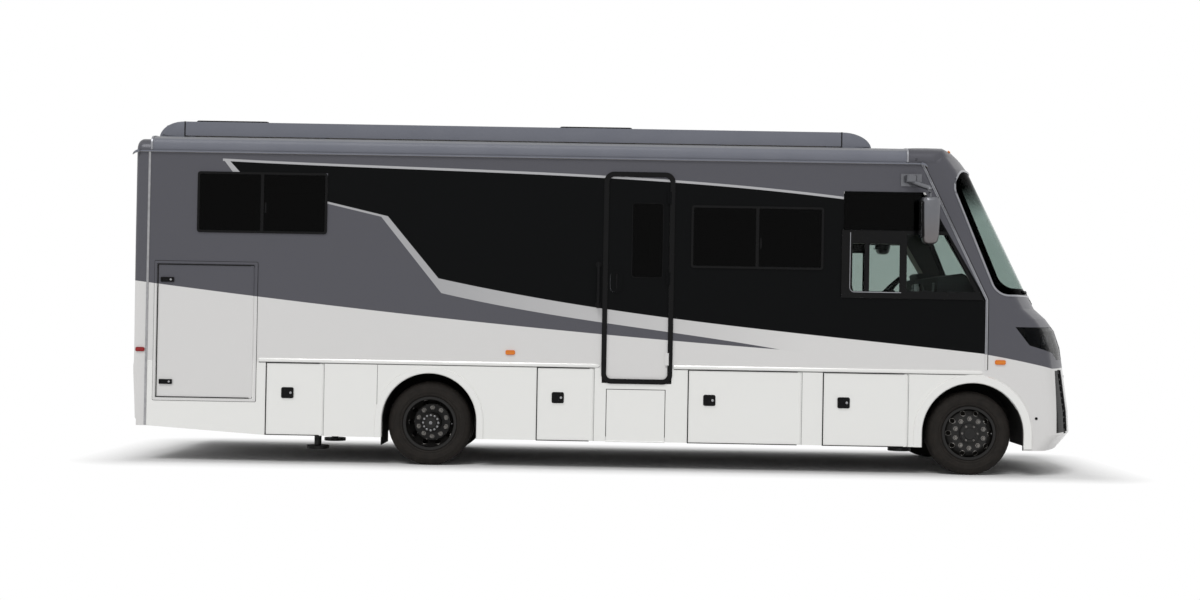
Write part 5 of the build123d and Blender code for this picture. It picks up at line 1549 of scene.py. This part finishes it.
# ---------------------------------------------------------------- cab
def inflated(shape, name, pressure, cap, voxel=0.010):
    """A cushion blown up by cloth simulation from its sewn shape; no point moves further than the cap."""
    mesh = bpy.data.meshes.new(name)
    bmesh.ops.recalc_face_normals(shape.bm, faces=shape.bm.faces)
    shape.bm.to_mesh(mesh)
    shape.bm.free()
    pad = stand(name, mesh)
    bpy.context.view_layer.objects.active = pad
    remesh = pad.modifiers.new("remesh", "REMESH")
    remesh.mode = "VOXEL"
    remesh.voxel_size = voxel
    bpy.ops.object.modifier_apply(modifier=remesh.name)
    start = np.array([v.co for v in pad.data.vertices])
    cloth = pad.modifiers.new("cloth", "CLOTH")
    cloth.settings.use_pressure = True
    cloth.settings.uniform_pressure_force = pressure
    cloth.settings.effector_weights.gravity = 0
    scene = bpy.context.scene
    for step in range(1, 21):
        scene.frame_set(step)
    bpy.ops.object.modifier_apply(modifier=cloth.name)
    scene.frame_set(1)
    moved = np.array([v.co for v in pad.data.vertices])
    shift = moved - start
    far = np.linalg.norm(shift, axis=1, keepdims=True)
    shift *= np.minimum(1.0, cap / np.maximum(far, 1e-9))
    pad.data.vertices.foreach_set("co", (start + shift).astype(np.float32).ravel())
    smooth = pad.modifiers.new("smooth", "SUBSURF")
    smooth.levels = smooth.render_levels = 1
    bpy.ops.object.modifier_apply(modifier=smooth.name)
    pad.data.polygons.foreach_set("use_smooth", [True] * len(pad.data.polygons))
    return pad


def crowned(x0, x1, y0, y1, z0, z1, waist=0.02):
    """A pad's sewn shape: a box whose sides pull in between its corners."""
    shape = Shape()
    rings = []
    for z, inset in ((z0, 0.02), (z0 + (z1 - z0) * 0.25, 0.0), (z0 + (z1 - z0) * 0.75, 0.0), (z1, 0.02)):
        ring = []
        for x, y in rounded(x0 + inset, x1 - inset, y0 + inset, y1 - inset, 0.05, 5):
            share_x = (x - (x0 + x1) / 2) / ((x1 - x0) / 2)
            share_y = (y - (y0 + y1) / 2) / ((y1 - y0) / 2)
            pull_x, pull_y = waist * share_x * (1 - share_y ** 2), waist * share_y * (1 - share_x ** 2)
            ring.append((x - pull_x, y - pull_y, z))
        rings.append(ring)
    shape.loops(rings)
    return shape


class COACH_OT_seats(CoachOperator):
    """The two cab seats: pedestals, cushions, backs, headrests and piping"""
    bl_idname = "coach.seats"
    bl_label = "Cab seats"

    def place(self, pad, name, matrix, finish="seat_leather"):
        pad.name = name
        pad.data.transform(matrix)
        if matrix.determinant() < 0:
            pad.data.flip_normals()
        pad.data.materials.append(finish_of(finish))
        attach(pad, "coach")
        return pad

    def build(self, scene):
        pressure = scene.coach_cab.pressure
        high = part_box("seats")[1]
        y0, y1 = 0.335, 0.785
        lean = math.atan2(0.11, 0.65)
        upright = Matrix.Translation((2.405, 0, 1.545)) @ Matrix.Rotation(-lean, 4, "Y")
        parts = (
            ("cushion", crowned(2.375, high.x - 0.02, y0, y1, 1.400, 1.500), Matrix.Identity(4), 0.016),
            ("back", crowned(-0.045, 0.045, y0 + 0.01, y1 - 0.01, 0.0, 0.400), upright, 0.014),
            ("headrest", crowned(-0.038, 0.038, 0.425, 0.695, 0.425, 0.560, 0.008), upright, 0.010),
        )
        first = None
        for part, shape, matrix, cap in parts:
            pad = inflated(shape, part, pressure, cap)
            twin = stand(part, pad.data.copy())
            flip = Matrix.Scale(-1, 4, (0, 1, 0))
            made = self.place(pad, f"driver_seat_{part}", matrix)
            self.place(twin, f"passenger_seat_{part}", flip @ matrix)
            first = first or made
        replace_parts(first, "seats")
        for side, who in ((RIGHT, "passenger"), (LEFT, "driver")):
            base = Shape()
            near, far = y_span(side, 0.42, 0.70)
            base.box((2.44, near, 1.042), (2.76, far, 1.30), 0.02)
            base.box((2.40, near - 0.03, 1.30), (2.82, far + 0.03, 1.385), 0.012)
            base.make(f"{who}_seat_pedestal", "black_plastic", slot="interior")
            welt = Shape()
            outline = rounded(2.385, high.x - 0.03, 0.345, 0.775, 0.06, 6)
            loop = [(x, side * y, 1.487) for x, y in outline]
            welt.tube(loop + loop[:1], 0.0045, 8)
            welt.make(f"{who}_seat_piping", "seat_piping", slot="seat")
            for arm, y in (("inner", 0.322), ("outer", 0.798)):
                rest = Shape()
                run = ((2.38, 1.660), (2.46, 1.668), (2.60, 1.668), (2.68, 1.660))
                rest.tube([(x, side * y, z) for x, z in run], 0.011, 14)
                rest.make(f"{who}_seat_armrest_{arm}", "seat_leather", slot="seat")


class COACH_OT_cab(CoachOperator):
    """Steering wheel, instrument hood, centre screen and dash vents"""
    bl_idname = "coach.cab"
    bl_label = "Cab fittings"

    def build(self, scene):
        rim = Shape()
        section = circle(14, 0.0135, (0.200, 0.013))
        rings = [[(reach * c, reach * s, z) for reach, z in section] for c, s in circle(64, 1.0)]
        rim.loops(rings, closed=True)
        spoke = ((0.045, 0.006), (0.12, 0.008), (0.192, 0.012))
        for angle in (0.0, math.pi, -math.pi / 2):
            c, s = around((0, 0), 1.0, angle)
            rim.tube([(reach * c, reach * s, z) for reach, z in spoke], 0.011, 12)
        rim.tube([(0, 0, -0.40), (0, 0, -0.02)], 0.029, 20)
        rim.tube([(0, 0, -0.02), (0, 0, 0.0), (0, 0, 0.020)], 0.058, 32)
        tilt = Matrix.Translation((2.98, 0.56, 1.83)) @ Matrix.Rotation(-math.pi / 4, 4, "Y")
        rim.turned(tilt @ Matrix.Rotation(math.pi / 2, 4, "Z"))
        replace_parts(rim.make("steering_wheel_rim", "dash_plastic", "steering_wheel", "interior"),
                    "steering_wheel")
        hood = Shape()
        outline = [(3.235, 1.935), (3.225, 1.985), (3.255, 2.006), (3.36, 2.004), (3.44, 1.972)]
        hood.prism(outline, 0.33, 0.79, 0.008)
        hood.make("instrument_hood", "dash_plastic", slot="interior")
        screen = Shape()
        screen.prism(rounded(-0.15, 0.15, 1.70, 1.89, 0.012), 3.182, 3.170, 0.003, axis="X")
        screen.make("centre_screen", "gloss_black", slot="interior")
        vents = Shape()
        for y in (-0.95, -0.40, 0.28, 0.95):
            for row in range(5):
                z = 1.80 + row * 0.018
                vents.prism(rounded(y - 0.06, y + 0.06, z, z + 0.008, 0.003), 3.183, 3.174, 0.001, axis="X")
        vents.make("dash_vents", "gloss_black", slot="interior")


# ---------------------------------------------------------------- underbody
class COACH_OT_wheel_wells(CoachOperator):
    """Black moulded liners inside the wheel arches"""
    bl_idname = "coach.wheel_wells"
    bl_label = "Wheel-well liners"

    def build(self, scene):
        thick, foot, wall_foot, outer_y = 0.004, 0.30, 0.63, 1.212
        for side, word in SIDES:
            for axle, (x, z), radius, inner_y in WHEEL_WELLS:
                well = Shape()
                arch = [around((x, z), radius, angle) for angle in np.linspace(0, math.pi, 33)]
                inner = [(x + radius, foot), *arch, (x - radius, foot)]
                grow = 1 + thick / radius
                outer = [(x + (px - x) * grow, z + (pz - z) * grow if pz > z else pz) for px, pz in inner]
                near, far = side * inner_y, side * outer_y
                well.loops([[(px, near, pz), (px, far, pz), (qx, far, qz), (qx, near, qz)]
                            for (px, pz), (qx, qz) in zip(inner, outer)])
                wall = [(px, pz) for px, pz in inner if pz >= wall_foot]
                well.prism(wall, near, side * (inner_y + thick))
                well.make(f"wheel_well_{axle}_{word}", "gasket", slot="chassis_black")


class COACH_OT_underbody(CoachOperator):
    """Brake drums, dampers and the exhaust with its silencer"""
    bl_idname = "coach.underbody"
    bl_label = "Underbody"

    def build(self, scene):
        profiles = {
            "rear": [(0.10, 0.70), (0.222, 0.705), (0.226, 0.80), (0.222, 0.86), (0.10, 0.865)],
            "front": [(0.118, 1.060), (0.221, 1.060), (0.226, 1.070), (0.226, 1.125), (0.221, 1.132),
                      (0.118, 1.132)],
        }
        for side, word in SIDES:
            for axle, profile in profiles.items():
                drum = Shape()
                drum.puck(profile, side, WHEEL_CENTRES[axle], 48)
                body = f"{WHEEL_BODIES[axle]}_{word}"
                drum.make(f"brake_drum_{axle}_{word}", "chassis_paint", body, "chassis_black")
            dampers = Shape()
            for x, lean in ((3.72, -0.08), (-2.10, 0.08)):
                y = side * 0.40
                dampers.tube([(x, y, 0.40), (x + lean * 0.5, y, 0.54)], 0.020, 16)
                dampers.tube([(x + lean * 0.45, y, 0.52), (x + lean, y, 0.72)], 0.030, 16)
            dampers.make(f"dampers_{word}", "chassis_paint", slot="chassis_black")
        pipe = Shape()
        run = [(2.45, -0.30, 0.52), (1.9, -0.30, 0.50), (1.0, -0.28, 0.50), (0.2, -0.28, 0.50)]
        pipe.tube(run, 0.038, 18)
        pipe.tube([(x, -0.28, 0.50) for x in (0.2, 0.18, -0.9, -0.92)], 0.105, 28)
        pipe.make("exhaust_and_silencer", "dull_steel", slot="steel")


# ---------------------------------------------------------------- stage
def seen_directly(nodes):
    """1 for what the eye, a gloss or a pane shows, 0 for light that falls on something dull."""
    rays = nodes.node("ShaderNodeLightPath").outputs
    seen = Number(nodes, rays["Is Camera Ray"]).most(Number(nodes, rays["Is Glossy Ray"]))
    return seen.most(Number(nodes, rays["Is Transmission Ray"]))


class COACH_OT_stage(CoachOperator):
    """Pale floor, white backdrop, soft light and the camera"""
    bl_idname = "coach.stage"
    bl_label = "Stage"

    def floor(self, settings):
        mesh = bpy.data.meshes.new("studio_floor")
        bm = bmesh.new()
        bmesh.ops.create_circle(bm, cap_ends=True, segments=96, radius=140)
        bm.to_mesh(mesh)
        bm.free()
        floor = stand("studio_floor", mesh)
        f = Finish("studio_floor", Roughness=0.9, Specular_IOR_Level=0.0)
        f.give(Base_Color=f.blend(f.noise(0.6, 2) * 0.15, tuple(settings.floor), srgb(246, 246, 246)))
        out = f.tree.nodes["Material Output"]
        glow = f.node("ShaderNodeEmission", {}, {"Color": (1.0, 1.0, 1.0), "Strength": 1.0})
        across, along = [(axis - half).most(0.0) for axis, half in ((f.y.size(), 1.2), (f.x.size(), 4.6))]
        away = (((across * across + along * along).root() - 0.10) / 0.6).clamped()
        share = away * seen_directly(f)
        mixed = f.node("ShaderNodeMixShader", {}, {0: share, 1: f.shader.outputs[0], 2: glow.outputs[0]})
        below = Number(f, f.node("ShaderNodeNewGeometry").outputs["Backfacing"]) * Number(
            f, f.node("ShaderNodeLightPath").outputs["Is Camera Ray"])
        clear = f.node("ShaderNodeBsdfTransparent")
        mixed = f.node("ShaderNodeMixShader", {}, {0: below, 1: mixed.outputs[0], 2: clear.outputs[0]})
        f.tree.links.new(mixed.outputs[0], out.inputs["Surface"])
        mesh.materials.append(f.material)

    def world(self, settings):
        world = bpy.data.worlds.new("studio")
        bpy.context.scene.world = world
        nodes = Nodes(world)
        even = nodes.node("ShaderNodeBackground", {}, {"Color": (1.0, 1.0, 1.0), "Strength": settings.sky})
        seen = nodes.node("ShaderNodeBackground", {}, {"Color": (1.0, 1.0, 1.0), "Strength": 1.0})
        share = seen_directly(nodes).socket
        mixed = nodes.node("ShaderNodeMixShader", {}, {0: share, 1: even.outputs[0], 2: seen.outputs[0]})
        nodes.node("ShaderNodeOutputWorld", {}, {"Surface": mixed.outputs[0]})

    def lamps(self, settings):
        sun = bpy.data.lights.new("soft_sun", "SUN")
        sun.energy = settings.key
        sun.angle = math.radians(26)
        lamp = stand("soft_sun", sun)
        lamp.rotation_euler = Vector((0.25, 0.85, -1.0)).to_track_quat("-Z", "Y").to_euler()

    def camera(self, settings):
        """A camera out from the right side, turned by the view's own axes in the coach's frame."""
        right = Vector((0.99978947, 0.01019407, 0.01780711))
        up = Vector((-0.01773093, -0.00751471, 0.99981455))
        ahead = Vector((-0.010326, 0.9999198, 0.00733238))
        data = bpy.data.cameras.new("studio_camera")
        data.sensor_width = 36
        data.lens = settings.lens
        data.clip_end = 400
        camera = stand("studio_camera", data)
        turn = Matrix((right, up, -ahead)).transposed()
        camera.matrix_world = Matrix.Translation((0.0432, -18.1852, 1.5262)) @ turn.to_4x4()
        bpy.context.scene.camera = camera

    def build(self, scene):
        self.floor(scene.coach_stage)
        self.world(scene.coach_stage)
        self.lamps(scene.coach_stage)
        self.camera(scene.coach_stage)
        scene.view_settings.view_transform = "Standard"


SETTINGS = {
    "coach_paint": PaintSettings, "coach_trim": TrimSettings, "coach_wheels": WheelSettings,
    "coach_cab": CabSettings, "coach_stage": StageSettings,
}
OPERATORS = (
    COACH_OT_stage, COACH_OT_paint, COACH_OT_window_frames, COACH_OT_body_trim, COACH_OT_latches,
    COACH_OT_entry, COACH_OT_lamps, COACH_OT_front, COACH_OT_mirrors, COACH_OT_roof, COACH_OT_rear,
    COACH_OT_wheels, COACH_OT_tyres, COACH_OT_seats, COACH_OT_cab, COACH_OT_wheel_wells,
    COACH_OT_underbody,
)


class COACH_PT_build(bpy.types.Panel):
    """Lists the settings and the steps of the build"""
    bl_idname = "COACH_PT_build"
    bl_label = "Motorhome"
    bl_space_type = "VIEW_3D"
    bl_region_type = "UI"
    bl_category = "Motorhome"

    def draw(self, context):
        for group, kind in SETTINGS.items():
            box = self.layout.box()
            for name in kind.__annotations__:
                box.prop(getattr(context.scene, group), name)
        for operator in OPERATORS:
            self.layout.operator(operator.bl_idname)


def register():
    for kind in (*SETTINGS.values(), *OPERATORS, COACH_PT_build):
        bpy.utils.register_class(kind)
    for group, kind in SETTINGS.items():
        setattr(bpy.types.Scene, group, bpy.props.PointerProperty(type=kind))


def unregister():
    for group in SETTINGS:
        delattr(bpy.types.Scene, group)
    for kind in (COACH_PT_build, *reversed(OPERATORS), *SETTINGS.values()):
        bpy.utils.unregister_class(kind)


def main():
    """Builds everything in order."""
    register()
    for operator in OPERATORS:
        family, name = operator.bl_idname.split(".")
        getattr(getattr(bpy.ops, family), name)()


if __name__ == "__main__":
    main()
